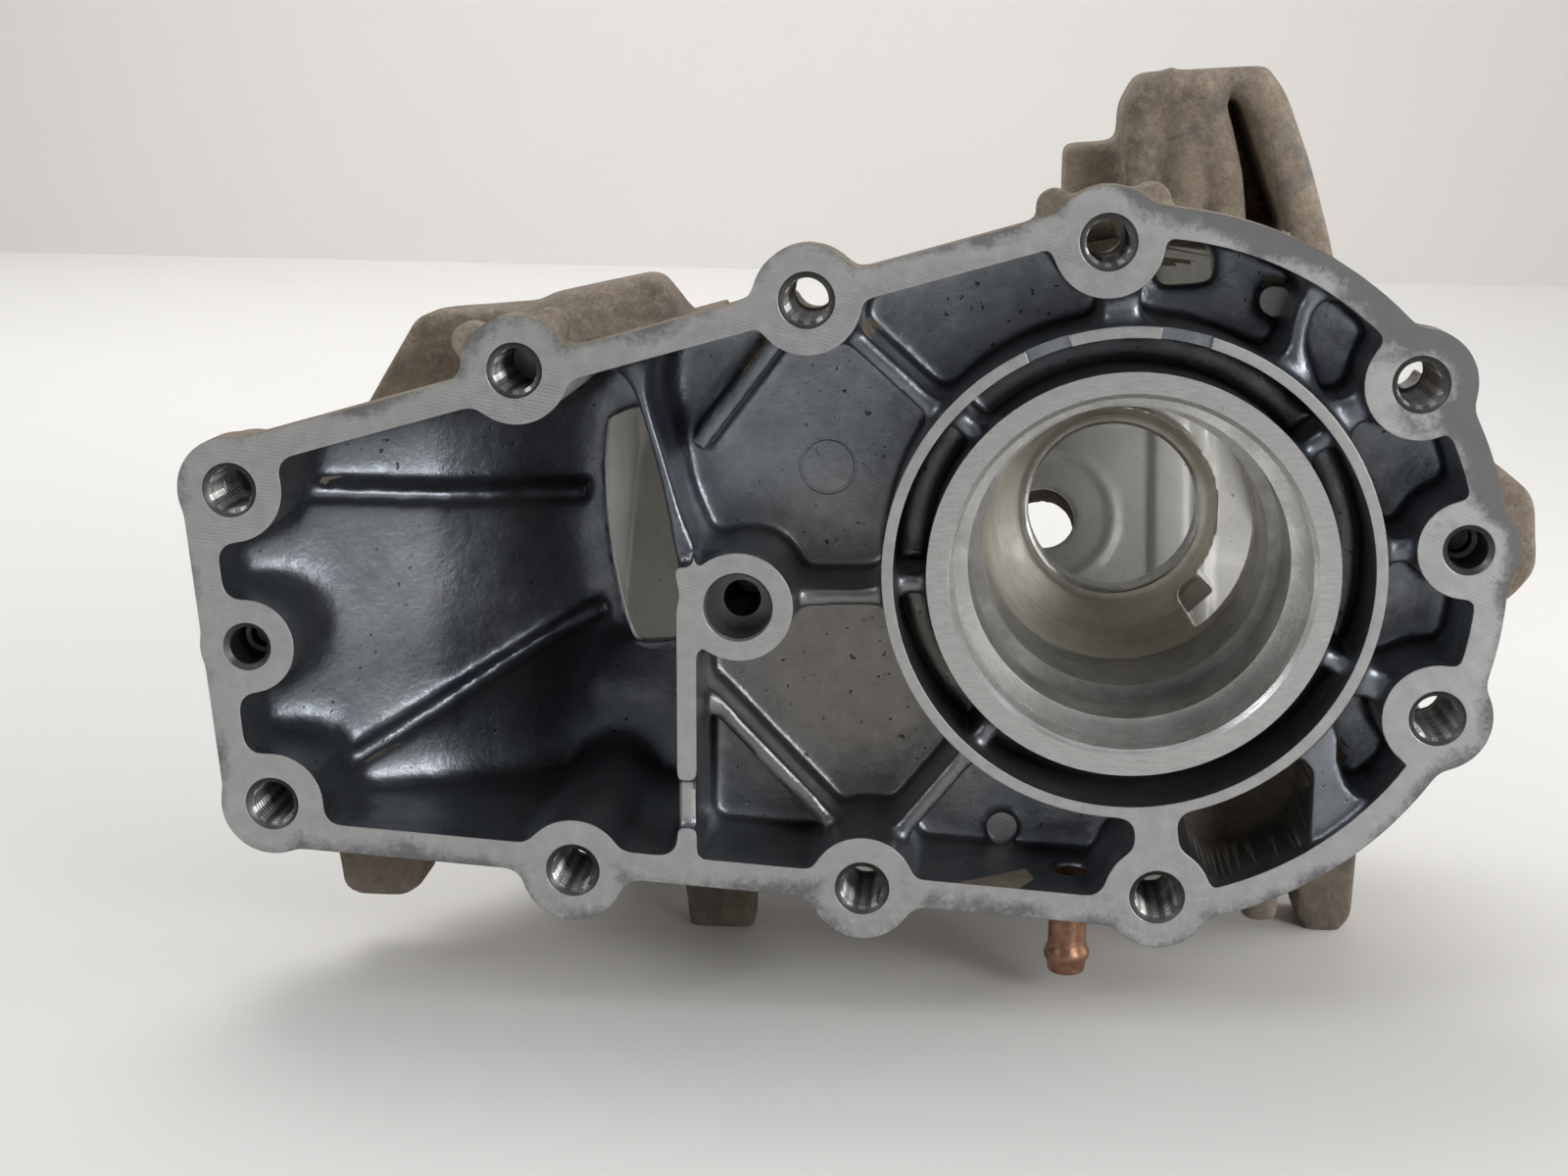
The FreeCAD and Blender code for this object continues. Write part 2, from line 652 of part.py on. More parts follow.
outer_parts = [rim, left_shell, middle_shell, rear_outer, cover_pad, back_pad, port_boss, block_foot,
               lug_foot, hanging_boss, small_boss, top_lug, top_ridge, side_block, lug_a, lug_b_slope, ear]
outside = fused("outside", outer_parts + rear_feet + columns + nubs + hoops + gussets)
left_open = cut("left_open", outside, left_core)
rear_open = cut("rear_open", left_open, rear_inner)
roomy = cut("roomy", rear_open, top_recess)
hollow = cut("hollow", roomy, fused("voids", pockets + crests))

# The barrel of the main bore, its bowl and the inner carrier
barrel = cylinder("barrel", "sizes.barrel_radius", "sizes.barrel_depth - 30", "0", "30", "0")
bowl = cone("bowl", "sizes.throat_radius + sizes.chamber_wall", "sizes.carrier_radius",
            "sizes.carrier_depth - sizes.barrel_depth", "0", "sizes.barrel_depth", "0")
carrier = cylinder("carrier", "sizes.carrier_radius", "sizes.carrier_thickness", "0",
                   "sizes.carrier_depth", "0")


def turned(name, points):
    """A profile of radius and depth, turned about the bore."""
    corners = [Vector(r, y, 0) for r, y in points]
    item = doc.addObject("Part::Revolution", name)
    item.Source = held(name + "_profile", Part.Face(Part.makePolygon(corners + corners[:1])))
    item.Axis = Vector(0, 1, 0)
    item.Angle = 360
    item.Solid = True
    return item


throat = size("throat_radius")
throat_depth, carrier_depth = size("throat_depth"), size("carrier_depth")
carrier_bore = size("carrier_bore_radius")
bowl_void = turned("bowl_void", [(0, throat_depth), (throat, throat_depth),
                                 (throat - 0.6, throat_depth + 7),
                                 (throat - 3.2, carrier_depth - 9), (carrier_bore + 2, carrier_depth),
                                 (0, carrier_depth)])
bores = [
    cylinder("seat", "sizes.seat_radius", "sizes.seat_depth + 1", "0", "-1", "0"),
    cone("seat_edge", "sizes.seat_radius + 2 * sizes.seat_chamfer", "sizes.seat_radius",
         "2 * sizes.seat_chamfer", "0", "-sizes.seat_chamfer", "0"),
    cylinder("shoulder", "sizes.shoulder_radius", "sizes.shoulder_depth", "0", "0", "0"),
    cylinder("throat", "sizes.throat_radius", "sizes.throat_depth", "0", "0", "0"),
    bowl_void,
    cylinder("carrier_bore", "sizes.carrier_bore_radius", "20", "0", "sizes.carrier_depth - 4", "0"),
]
sector = doc.addObject("Part::Cylinder", "sector")
sector.Placement = Placement(Vector(), ALONG_BORE * Rotation(Vector(0, 0, 1), -size("crescent_high")))
bind(sector, {"Radius": "sizes.barrel_radius + 6", "Angle": "sizes.crescent_high - sizes.crescent_low",
              "Height": "sizes.carrier_depth - sizes.barrel_depth + sizes.carrier_thickness + 2",
              "Placement.Base.y": "sizes.barrel_depth"})
stub_turn = Rotation(Vector(0, 1, 0), -size("stub_angle"))
stub = doc.addObject("Part::Box", "stub")
stub.Placement = Placement(stub_turn.multVec(Vector(size("carrier_radius") - 1, 0, -size("stub_width") / 2))
                           + Vector(0, size("carrier_depth"), 0), stub_turn)
bind(stub, {"Length": "sizes.stub_length", "Width": "sizes.carrier_thickness", "Height": "sizes.stub_width"})
carrier_keep = cylinder("carrier_keep", "sizes.carrier_radius", "60", "0", "50", "0")
crescent = cut("crescent", sector, fused("carrier_and_stub", [carrier_keep, stub]))

# Groove between the two rings, bridged by five spokes
spokes = []
for angle in (37, -23, 139, 184.5, 230.5):
    spoke = doc.addObject("Part::Box", "spoke_%d" % len(spokes))
    turn = Rotation(Vector(0, 1, 0), -angle)
    width = size("spoke_width") - 0.6
    corner = turn.multVec(Vector(size("barrel_radius") - 1, 0, -width / 2))
    spoke.Placement = Placement(corner + Vector(0, size("spoke_drop"), 0), turn)
    bind(spoke, {"Length": "sizes.groove_radius - sizes.barrel_radius + 2",
                 "Width": "sizes.groove_depth - sizes.spoke_drop + 1", "Height": "sizes.spoke_width - 0.6"})
    spokes.append(spoke)
groove_outer = cylinder("groove_outer", "sizes.groove_radius", "sizes.groove_depth + 1", "0", "-1", "0")
groove_inner = cylinder("groove_inner", "sizes.barrel_radius", "sizes.groove_depth + 3", "0", "-2", "0")
groove = cut("groove", groove_outer, fused("groove_keep", [groove_inner] + spokes))

# Low ribs of the middle pocket and the two long ribs of the left chamber
low_ribs = []
for name, line in (("rib_upper", strip(hole_centre(6), (-90, 22), rib_width)),
                   ("rib_lower", strip(hole_centre(7), (-88, -31), rib_width))):
    low_ribs.append(prism(name, line.common(open_area).Faces[0], "sizes.low_rib_drop",
                          "sizes.pocket_depth - sizes.low_rib_drop + 1"))
left_ribs = []
crest_tool = upright("left_crest", crest_plan)
LEFT_RIBS = [("rib_level", (-180, 11.2), (-120, 5)), ("rib_slanted", (-176, -55), (-117, -21.5))]
for name, start, end in LEFT_RIBS:
    line = strip(start, end, rib_width).common(left_face).Faces[0]
    blade = common(name + "_blade", prism(name + "_line", line, "8", "sizes.left_depth"), left_back)
    left_ribs.append(cut(name, blade, crest_tool))

pads = [cylinder("pin_pad_1", "2.9", "6", "28.3", "25", "53.3"),
        cylinder("pin_pad_2", "3", "1.6", "-24.4", "29.2", "-62.3")]
pivot_boss = cylinder("pivot_boss", "sizes.pivot_boss_radius", "sizes.pivot_boss_depth",
                      "sizes.pivot_x", "0", "sizes.pivot_z")
nipple_pad = cylinder("nipple_pad", "sizes.nipple_radius + 2.6", "sizes.nipple_grip + 3", "sizes.nipple_x",
                      "sizes.nipple_y", "-sizes.case_radius - 1.5", Rotation())
inside_parts = [stub, pivot_boss, nipple_pad, barrel, bowl, carrier, port_ridge]
body = fused("body", [hollow] + inside_parts + low_ribs + left_ribs + pads + rails)

# Holes
holes = []
for number in SCREW_HOLES:
    x, z = hole_cells(number)
    run = "sizes.boss_depth + 2" if number in OUTER_BOSSES else REAR_START + " + 2"
    holes.append(cylinder("tap_%d" % number, "sizes.tap_radius", run, x, "-1", z))
    holes.append(cone("tap_edge_%d" % number, "sizes.tap_radius + 2 * sizes.tap_chamfer", "sizes.tap_radius",
                      "2 * sizes.tap_chamfer", x, "-sizes.tap_chamfer", z))
for number in DOWEL_HOLES:
    x, z = hole_cells(number)
    holes.append(cylinder("dowel_%d" % number, "sizes.dowel_radius", "sizes.dowel_depth + 1", x, "-1", z))
    holes.append(cylinder("dowel_core_%d" % number, "sizes.dowel_radius - 1", "sizes.dowel_depth + 4",
                          x, "0", z))
    holes.append(cone("dowel_edge_%d" % number, "sizes.dowel_radius + 2 * sizes.dowel_chamfer",
                      "sizes.dowel_radius", "2 * sizes.dowel_chamfer", x, "-sizes.dowel_chamfer", z))
holes.append(cylinder("pivot_hole", "sizes.pivot_radius", "sizes.pivot_depth + 1", "sizes.pivot_x", "-1",
                      "sizes.pivot_z"))
holes.append(cylinder("pivot_core", "sizes.pivot_core_radius", "sizes.pivot_core_depth",
                      "sizes.pivot_x", "0", "sizes.pivot_z"))
notch = [(-3.4, 4), (-1.6, 8.2), (-0.2, 7.8), (2.6, 5)]
holes.append(prism("oil_notch", flat([(pivot[0] + dx, pivot[1] + dz) for dx, dz in notch]), "-1",
                   "sizes.pivot_depth + 1"))
holes.append(box("wall_step", "sizes.pivot_x - 14", "-1", "-55.5", "7", "2.4", "10.5"))
left_window = opened(flat([(-115.4, 22), (-116.4, 11), (-116, 0), (-114.8, -10.5), (-112.6, -21.8),
                           (-110, -31.5), (-93, -29.5), (-93, 23)]), 1.2)
holes.append(prism("left_window", left_window, "sizes.left_depth - 8", "14"))
top_window = opened(flat([(4.8, 55.4), (16.2, 56.4), (16.6, 61), (14, 65.2), (4.2, 65.8)]), 2)
holes.append(prism("top_window", top_window, "sizes.pocket_depth - 2", "12"))
holes.append(cylinder("nipple_hole", "sizes.nipple_radius", "sizes.stand_height - sizes.case_radius + 17",
                      "sizes.nipple_x", "sizes.nipple_y", "-sizes.stand_height", Rotation()))
holes += [port_bore, cover_hole, back_hole] + cover_taps + back_taps + foot_taps
housing = cut("bored", body, fused("cuts", bores + holes + [groove, crescent]))
housing.Label = "housing"

# Hose nipple: a bead near its mouth, pressed into the drilled boss under the flange
nipple_x, nipple_y = size("nipple_x"), size("nipple_y")
radius, bead = size("nipple_radius"), size("nipple_bead")
mouth = size("nipple_clear") - size("stand_height")
seat_top = size("nipple_grip") - size("case_radius")
inner = radius - size("nipple_wall")
nipple_line = [(inner, mouth), (radius - 0.3, mouth), (radius, mouth + 1.5), (bead, mouth + 4),
               (bead, mouth + 5), (radius, mouth + 6.4), (radius, seat_top), (inner, seat_top)]
profile = [Vector(r, 0, z) for r, z in nipple_line]
nipple = doc.addObject("Part::Revolution", "nipple")
nipple.Source = held("nipple_profile", Part.Face(Part.makePolygon(profile + profile[:1])))
nipple.Axis = Vector(0, 0, 1)
nipple.Angle = 360
nipple.Solid = True
nipple.Label = "hose_nipple"
bind(nipple, {"Placement.Base.x": "sizes.nipple_x", "Placement.Base.y": "sizes.nipple_y"})

doc.recompute()
for item in doc.Objects:
    if "Invalid" in item.State or "Error" in item.State:
        raise RuntimeError("%s did not build" % item.Label)
os.makedirs("parts", exist_ok=True)
for item in (housing, nipple):
    if item.Shape.isNull() or not item.Shape.isValid():
        raise RuntimeError("%s has no sound shape" % item.Label)
    print(item.Label, len(item.Shape.Solids), "solids", round(item.Shape.Volume), "mm3",
          "centre", [round(v, 1) for v in item.Shape.CenterOfGravity])
    item.Shape.exportStep("parts/%s.step" % item.Label)
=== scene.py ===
import math

import bmesh
import bpy
import numpy as np
from mathutils import Matrix, Vector


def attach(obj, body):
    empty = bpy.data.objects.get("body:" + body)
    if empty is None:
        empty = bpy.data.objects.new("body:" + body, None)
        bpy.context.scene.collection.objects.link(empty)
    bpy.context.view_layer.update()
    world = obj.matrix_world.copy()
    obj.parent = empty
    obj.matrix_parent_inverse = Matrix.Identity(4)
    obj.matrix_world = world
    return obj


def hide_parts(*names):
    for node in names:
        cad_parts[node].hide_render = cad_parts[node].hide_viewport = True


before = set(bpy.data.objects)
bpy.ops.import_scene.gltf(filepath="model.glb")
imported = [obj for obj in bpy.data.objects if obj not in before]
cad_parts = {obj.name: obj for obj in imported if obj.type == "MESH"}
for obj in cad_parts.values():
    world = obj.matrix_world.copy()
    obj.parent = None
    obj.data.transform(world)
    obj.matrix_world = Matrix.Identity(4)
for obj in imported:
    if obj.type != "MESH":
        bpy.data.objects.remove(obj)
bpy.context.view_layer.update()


# Housing, as it comes from the die: a light-alloy casting with soft corners in every pocket.
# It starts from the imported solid. The places that a tool will cut get some more metal first,
# so that the die's soft skin ends there in a crisp machined edge.
# Lengths are in millimetres, and times MM in metres. The grid of the skin is in metres already.
MM = 0.001
SKIN_GRID = 0.00085
STOCK = 3
FOOT_LEVEL = -95
COVER_LEVEL = 54.5
INTO = (0, 1, 0)
casting = bmesh.new()
casting.from_mesh(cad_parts["housing"].data)
bmesh.ops.remove_doubles(casting, verts=casting.verts, dist=2e-6)
for axis, level, growth in ((1, 0, -STOCK), (2, FOOT_LEVEL, -STOCK), (0, COVER_LEVEL, STOCK)):
    for vertex in casting.verts:
        if abs(vertex.co[axis] - level * MM) < 1e-5:
            vertex.co[axis] += growth * MM


def turned_to(way):
    """The turn that lays the Z axis along a direction."""
    return Vector((0, 0, 1)).rotation_difference(Vector(way)).to_matrix().to_4x4()


def round_bar(metal, start, end, radius, segments=48):
    """A closed bar between two points."""
    a = Vector(start) * MM
    b = Vector(end) * MM
    bmesh.ops.create_cone(metal, cap_ends=True, segments=segments, radius1=radius * MM, radius2=radius * MM,
                          depth=(b - a).length, matrix=Matrix.Translation((a + b) / 2) @ turned_to(b - a))


SCREW_HOLES = [(-184.4, 14.2), (-178.2, -52.8), (-124.6, 39.7), (-114.2, -65.4), (-65.8, 54.5),
               (-53.4, -67.3), (-6.9, 66.5), (7.4, -67.1), (54.4, 39.6), (61.6, -27.5)]
DOWEL_HOLES = [(-182.1, -18.8), (65.5, 7.0)]
PIVOT = (-79.4, -8.0)
COVER_HOLES = [(71.5, -31.5), (130.5, -31.5), (71.5, 39.5), (130.5, 39.5)]
FOOT_HOLES = [(-112, 92), (28, 92)]
SCREW_BORE = 4.3
DOWEL_BORE = 4
COVER_BORE = 2.5
FOOT_BORE = 3.4
for x, z in SCREW_HOLES:
    round_bar(casting, (x, -STOCK, z), (x, 21.4, z), 6.2)
for x, z in DOWEL_HOLES:
    round_bar(casting, (x, -STOCK, z), (x, 15, z), 5.6)
round_bar(casting, (PIVOT[0], -STOCK, PIVOT[1]), (PIVOT[0], 30, PIVOT[1]), 8.6)
round_bar(casting, (0, -STOCK, 0), (0, 31, 0), 38.5, 96)
round_bar(casting, (0, 30, 0), (0, 52.5, 0), 33, 96)
round_bar(casting, (0, 79.2, 0), (0, 86.8, 0), 21.5, 64)
for y, z in COVER_HOLES:
    round_bar(casting, (45, y, z), (57, y, z), 3.4)
for x, y in FOOT_HOLES:
    round_bar(casting, (x, y, FOOT_LEVEL - STOCK), (x, y, -79), 4.4)

# The rear cover's face lies on the slanted rear wall.
BACK_WAY = Vector((0, 0.89004, -0.45588))
BACK_FACE = Vector((-80, 129.61, -24)) + BACK_WAY * 4
BACK_TURN = turned_to(BACK_WAY).to_3x3()
BACK_HOLES = [BACK_FACE + BACK_TURN @ Vector((x, z, 0)) for x in (-30, 30) for z in (-30, 30)]
for place in BACK_HOLES:
    round_bar(casting, place - BACK_WAY * 7.8, place + BACK_WAY * 2.5, 3.4)

# Round ribs of the top lug, each a path of (x, z) and a thickness, and the two small round pads.
LUG_RIBS = [([(13.6, 98), (15.4, 95), (18.4, 86), (20.9, 76), (22, 66), (23, 56)], 4.2),
            ([(24.6, 98.3), (29.2, 92.5), (34.8, 78.2), (39.2, 64), (41.5, 55)], 4.8),
            ([(10.5, 97.6), (4, 94.5), (2.3, 88), (2.3, 56)], 3.6)]
LUG_FRONT = 62.2
for path, thickness in LUG_RIBS:
    for (ax, az), (bx, bz) in zip(path, path[1:]):
        round_bar(casting, (ax, LUG_FRONT, az), (bx, LUG_FRONT, bz), thickness)
        bmesh.ops.create_icosphere(casting, subdivisions=3, radius=thickness * MM,
                                   matrix=Matrix.Translation((bx * MM, LUG_FRONT * MM, bz * MM)))
PADS = [(28.3, 53.3, 25.2, 3.3), (-24.4, -62.3, 29.2, 3.3)]
for x, z, level, radius in PADS:
    round_bar(casting, (x, level - 1.5, z), (x, 33, z), radius)


def settled(obj):
    """Bakes an object's modifiers into its mesh."""
    bpy.context.view_layer.update()
    baked = bpy.data.meshes.new_from_object(obj.evaluated_get(bpy.context.evaluated_depsgraph_get()))
    obj.modifiers.clear()
    obj.data = baked


def piece_from(shape, name):
    """A bmesh as an object of the scene."""
    mesh = bpy.data.meshes.new(name)
    shape.to_mesh(mesh)
    shape.free()
    obj = bpy.data.objects.new(name, mesh)
    bpy.context.scene.collection.objects.link(obj)
    return obj


housing = piece_from(casting, "housing_casting")
skin = housing.modifiers.new("die_skin", "REMESH")
skin.mode = "VOXEL"
skin.voxel_size = SKIN_GRID
settled(housing)
soft = housing.modifiers.new("soft_corners", "SMOOTH")
soft.factor = 0.5
soft.iterations = 8
settled(housing)


def ramp(values, low, high):
    """A soft step from 0 to 1 between two values."""
    t = np.clip((values - low) / (high - low), 0, 1)
    return t * t * (3 - 2 * t)


def side_normal(side, centre):
    """The unit direction from a straight side to the centre's half."""
    (ax, az), (bx, bz) = side
    length = math.hypot(bx - ax, bz - az)
    nx, nz = (bz - az) / length, -(bx - ax) / length
    if nx * (centre[0] - ax) + nz * (centre[1] - az) < 0:
        nx, nz = -nx, -nz
    return nx, nz


def inward(sides, x, z, centre):
    """Distance of points inside a ring of straight sides."""
    depth = np.full(x.shape, 1e3)
    for side in sides:
        ax, az = side[0]
        nx, nz = side_normal(side, centre)
        depth = np.minimum(depth, nx * (x - ax) + nz * (z - az))
    return depth


def beside(line, x, z):
    """Distance of points from a straight line between two ends."""
    (ax, az), (bx, bz) = line
    t = ((x - ax) * (bx - ax) + (z - az) * (bz - az)) / ((bx - ax) ** 2 + (bz - az) ** 2)
    t = np.clip(t, 0, 1)
    return np.hypot(x - ax - t * (bx - ax), z - az - t * (bz - az))


# Outline of the joint flange: a circle round the main bore and a tapering tail to the left.
CASE_RADIUS = 73.5
TAIL_MIDDLE = (-100, 0)
TAIL_SIDES = [((-195.3, 20.9), (-18.6, 71.1)), ((-187.6, -61.6), (-19.1, -71.0)),
              ((-195.3, 20.9), (-187.6, -61.6)), ((-18.6, 71.1), (-19.1, -71.0))]
LEFT_RIBS = [((-180, 11.2), (-117, 5)), ((-176, -55), (-112, -18))]


def inside_rim(x, z):
    """How far points lie inside the outline of the joint flange."""
    return np.maximum(CASE_RADIUS - np.hypot(x, z), inward(TAIL_SIDES, x, z, TAIL_MIDDLE))


def points(mesh):
    """The vertices of a mesh in millimetres."""
    flat = np.empty(len(mesh.vertices) * 3)
    mesh.vertices.foreach_get("co", flat)
    return flat.reshape(-1, 3) * 1000


def relax(mesh, place, weight, rounds):
    """Moves each vertex towards its neighbours, as far as its weight allows."""
    ends = np.empty(len(mesh.edges) * 2, dtype=np.int32)
    mesh.edges.foreach_get("vertices", ends)
    first, second = ends.reshape(-1, 2).T
    near = (weight[first] > 0) | (weight[second] > 0)
    first, second = first[near], second[near]
    count = len(place)
    links = np.maximum(np.bincount(first, minlength=count) + np.bincount(second, minlength=count), 1)
    share = weight * 0.5 / links
    for _ in range(rounds):
        for axis in range(3):
            column = place[:, axis]
            total = np.bincount(first, column[second], count) + np.bincount(second, column[first], count)
            place[:, axis] = column + share * (total - links * column)


# The left chamber is a smooth bowl: its deep corner lies below the slanted rib, its walls run into
# the floor in wide curves, and only the crests of the ribs stay narrow.
DEEP_CORNER = 7
PANEL_SINK = 1.6
KNOB_RISE = 2.4
BOWL_ROUNDS = 110
CREST_ROUNDS = 9
POCKET_ROUNDS = 14
WINDOW_EDGE = [(-115.4, 22), (-116.4, 11), (-116, 0), (-114.8, -10.5), (-112.6, -21.8), (-110, -31.5),
               (-93, -29.5)]
skin_mesh = housing.data
place = points(skin_mesh)
x, y, z = place.T
rim = inside_rim(x, z)
chamber = ramp(rim, 4.5, 9) * ramp(-x, 92, 98) * (1 - ramp(y, 68, 76))
deep = np.exp(-((x + 118) / 27) ** 2 - ((z + 43) / 15) ** 2)
panel = ramp(x, -135, -131) * ramp(-x, 119, 123) * ramp(z, -16, -12) * (1 - ramp(z, 10, 14))
knob = np.exp(-((x + 118) / 3.4) ** 2 - ((z + 27.5) / 3.4) ** 2)
place[:, 1] = y + chamber * ramp(y, 12, 30) * (DEEP_CORNER * deep * ramp(z, -22, -32) + PANEL_SINK * panel)
rib_near = np.minimum(beside(LEFT_RIBS[0], x, z), beside(LEFT_RIBS[1], x, z))
edge_near = np.min([beside(line, x, z) for line in zip(WINDOW_EDGE, WINDOW_EDGE[1:])], axis=0)
hold = (0.1 + 0.9 * ramp(rib_near, 2.2, 8)) * ramp(edge_near, 1.5, 6)
relax(skin_mesh, place, chamber * ramp(y, 1.5, 7) * hold, BOWL_ROUNDS)
x, y, z = place.T
place[:, 1] = y - KNOB_RISE * knob * chamber * ramp(y, 30, 40)
relax(skin_mesh, place, chamber * ramp(y, 1.5, 7) * ramp(edge_near, 1.5, 6), CREST_ROUNDS)
# The other pockets have rounder corners than the die skin alone, and the lugs are rounder still.
pockets = ramp(rim, 4, 7) * ramp(x, -100, -92) * ramp(y, 1.5, 5) * (1 - ramp(y, 31, 33))
outer = (1 - ramp(rim, 1, 3)) * ramp(y, 8, 12)
relax(skin_mesh, place, np.maximum(0.5 * pockets, outer), POCKET_ROUNDS)
skin_mesh.vertices.foreach_set("co", (place / 1000).ravel())
skin_mesh.update()


def thinned(obj, triangles):
    """Takes an object down to about so many triangles."""
    now = sum(len(face.vertices) - 2 for face in obj.data.polygons)
    if now > triangles:
        thin = obj.modifiers.new("thin", "DECIMATE")
        thin.ratio = triangles / now
        settled(obj)


SKIN_TRIANGLES = 150000
thinned(housing, SKIN_TRIANGLES)

# Machining of the housing: the joint face is milled in one pass, then the bore is turned in steps
# and the screw, dowel and pivot holes are drilled from the same side. The side cover face and the
# feet are milled last.


def placed(tool, start, along):
    """A cutting body that was made on the Z axis, moved to its start and direction."""
    matrix = Matrix.Translation(Vector(start) * MM) @ turned_to(along)
    bmesh.ops.transform(tool, matrix=matrix, verts=tool.verts)
    bmesh.ops.recalc_face_normals(tool, faces=tool.faces)
    return tool


def turned_tool(profile, start, along, segments, loop=False):
    """A body turned from (radius, depth) pairs about an axis."""
    tool = bmesh.new()
    ring = [tool.verts.new((radius * MM, 0, depth * MM)) for radius, depth in profile]
    edges = [tool.edges.new(pair) for pair in zip(ring, ring[1:] + ring[:1] if loop else ring[1:])]
    bmesh.ops.spin(tool, geom=ring + edges, cent=(0, 0, 0), axis=(0, 0, 1), angle=math.tau,
                   steps=segments, use_merge=True)
    bmesh.ops.remove_doubles(tool, verts=tool.verts, dist=1e-7)
    return placed(tool, start, along)


def block_tool(low, high):
    """A square cutting body between two corners."""
    tool = bmesh.new()
    bmesh.ops.create_cube(tool, size=1)
    low = Vector(low) * MM
    high = Vector(high) * MM
    for vertex in tool.verts:
        for axis in range(3):
            vertex.co[axis] = high[axis] if vertex.co[axis] > 0 else low[axis]
    return tool


def machine(obj, tools):
    """Cuts an object with bodies that don't touch each other."""
    gang = bmesh.new()
    for tool in tools:
        passing = bpy.data.meshes.new("passing")
        tool.to_mesh(passing)
        tool.free()
        gang.from_mesh(passing)
        bpy.data.meshes.remove(passing)
    cutter = piece_from(gang, "cutter")
    cut = obj.modifiers.new("machining", "BOOLEAN")
    cut.operation = "DIFFERENCE"
    cut.solver = "MANIFOLD"
    cut.object = cutter
    settled(obj)
    bpy.data.objects.remove(cutter)


MAIN_LINE = [(0, -6), (37.4, -6), (37.4, -0.6), (37, 0), (36, 1), (36, 14), (33, 14), (33, 31), (30.3, 31),
             (30.3, 54), (0, 54)]
CARRIER_LINE = [(0, 78), (20.6, 78), (20.3, 79.2), (19.5, 80), (19.5, 88), (0, 88)]
PIVOT_LINE = [(0, -6), (7.3, -6), (7.3, -0.2), (6.7, 0.6), (6.7, 9), (3.9, 9), (3.9, 32), (0, 34)]
SCREW_LINE = [(0, -6), (6, -6), (6, -0.4), (5.3, 0.5), (SCREW_BORE, 1.3), (SCREW_BORE, 22.4), (0, 22.4)]
DOWEL_LINE = [(0, -6), (5.2, -6), (5.2, -0.1), (DOWEL_BORE, 1.1), (DOWEL_BORE, 12), (3, 12.3), (3, 16),
              (0, 17.5)]
COVER_LINE = [(0, 44), (COVER_BORE, 45.5), (COVER_BORE, 53.9), (3.1, 54.5), (3.1, 60), (0, 60)]
BACK_LINE = [(0, -7), (COVER_BORE, -6), (COVER_BORE, -0.6), (3.1, 0), (3.1, 5), (0, 5)]
FOOT_LINE = [(0, -100), (4, -100), (4, -95), (FOOT_BORE, -94.4), (FOOT_BORE, -80), (0, -78)]
bores = [turned_tool(MAIN_LINE, (0, 0, 0), INTO, 160), turned_tool(CARRIER_LINE, (0, 0, 0), INTO, 96),
         turned_tool(PIVOT_LINE, (PIVOT[0], 0, PIVOT[1]), INTO, 64)]
bores += [turned_tool(SCREW_LINE, (x, 0, z), INTO, 56) for x, z in SCREW_HOLES]
bores += [turned_tool(DOWEL_LINE, (x, 0, z), INTO, 48) for x, z in DOWEL_HOLES]
bores += [turned_tool(COVER_LINE, (0, y, z), (1, 0, 0), 32) for y, z in COVER_HOLES]
bores += [turned_tool(BACK_LINE, place, BACK_WAY, 32) for place in BACK_HOLES]
bores += [turned_tool(FOOT_LINE, (x, y, 0), (0, 0, 1), 40) for x, y in FOOT_HOLES]
machine(housing, bores)


def thread_tool(root, crest, pitch, length, start, along, steps=22):
    """A cutting body for the groove of a right-hand thread."""
    tool = bmesh.new()
    section = [(crest - 0.12, -0.43), (root, -0.08), (root, 0.08), (crest - 0.12, 0.43)]
    ring = [tool.verts.new((r * MM, 0, h * pitch * MM)) for r, h in section]
    edges = [tool.edges.new(pair) for pair in zip(ring, ring[1:] + ring[:1])]
    tool.faces.new(ring)
    turns = length / pitch
    count = round(turns * steps)
    made = bmesh.ops.spin(tool, geom=ring + edges, cent=(0, 0, 0), axis=(0, 0, 1), angle=math.tau * turns,
                          steps=count, dvec=(0, 0, length * MM / count))
    bmesh.ops.contextual_create(tool, geom=[item for item in made["geom_last"]
                                            if isinstance(item, bmesh.types.BMEdge)])
    return placed(tool, start, along)


for x, z, level, radius in PADS:
    pad_line = [(0, level - 5), (radius, level - 5), (radius, level), (0, level)]
    machine(housing, [turned_tool(pad_line, (x, 0, z), INTO, 40)])

# A round mark in the upper pocket, and two lowered stretches of the outer ring.
ROUND_MARK = (-63.2, 0, 16.6)
details = [turned_tool([(5.2, 29), (6.4, 29), (6.1, 30.5), (5.6, 30.5)], ROUND_MARK, INTO, 64, loop=True)]
for angle, width in ((111.5, 9), (79.5, 10)):
    gap = block_tool((46.6, -2, -width / 2), (51.6, 1.3, width / 2))
    turn = Matrix.Rotation(-math.radians(angle), 3, "Y")
    bmesh.ops.rotate(gap, cent=(0, 0, 0), matrix=turn, verts=gap.verts)
    details.append(gap)

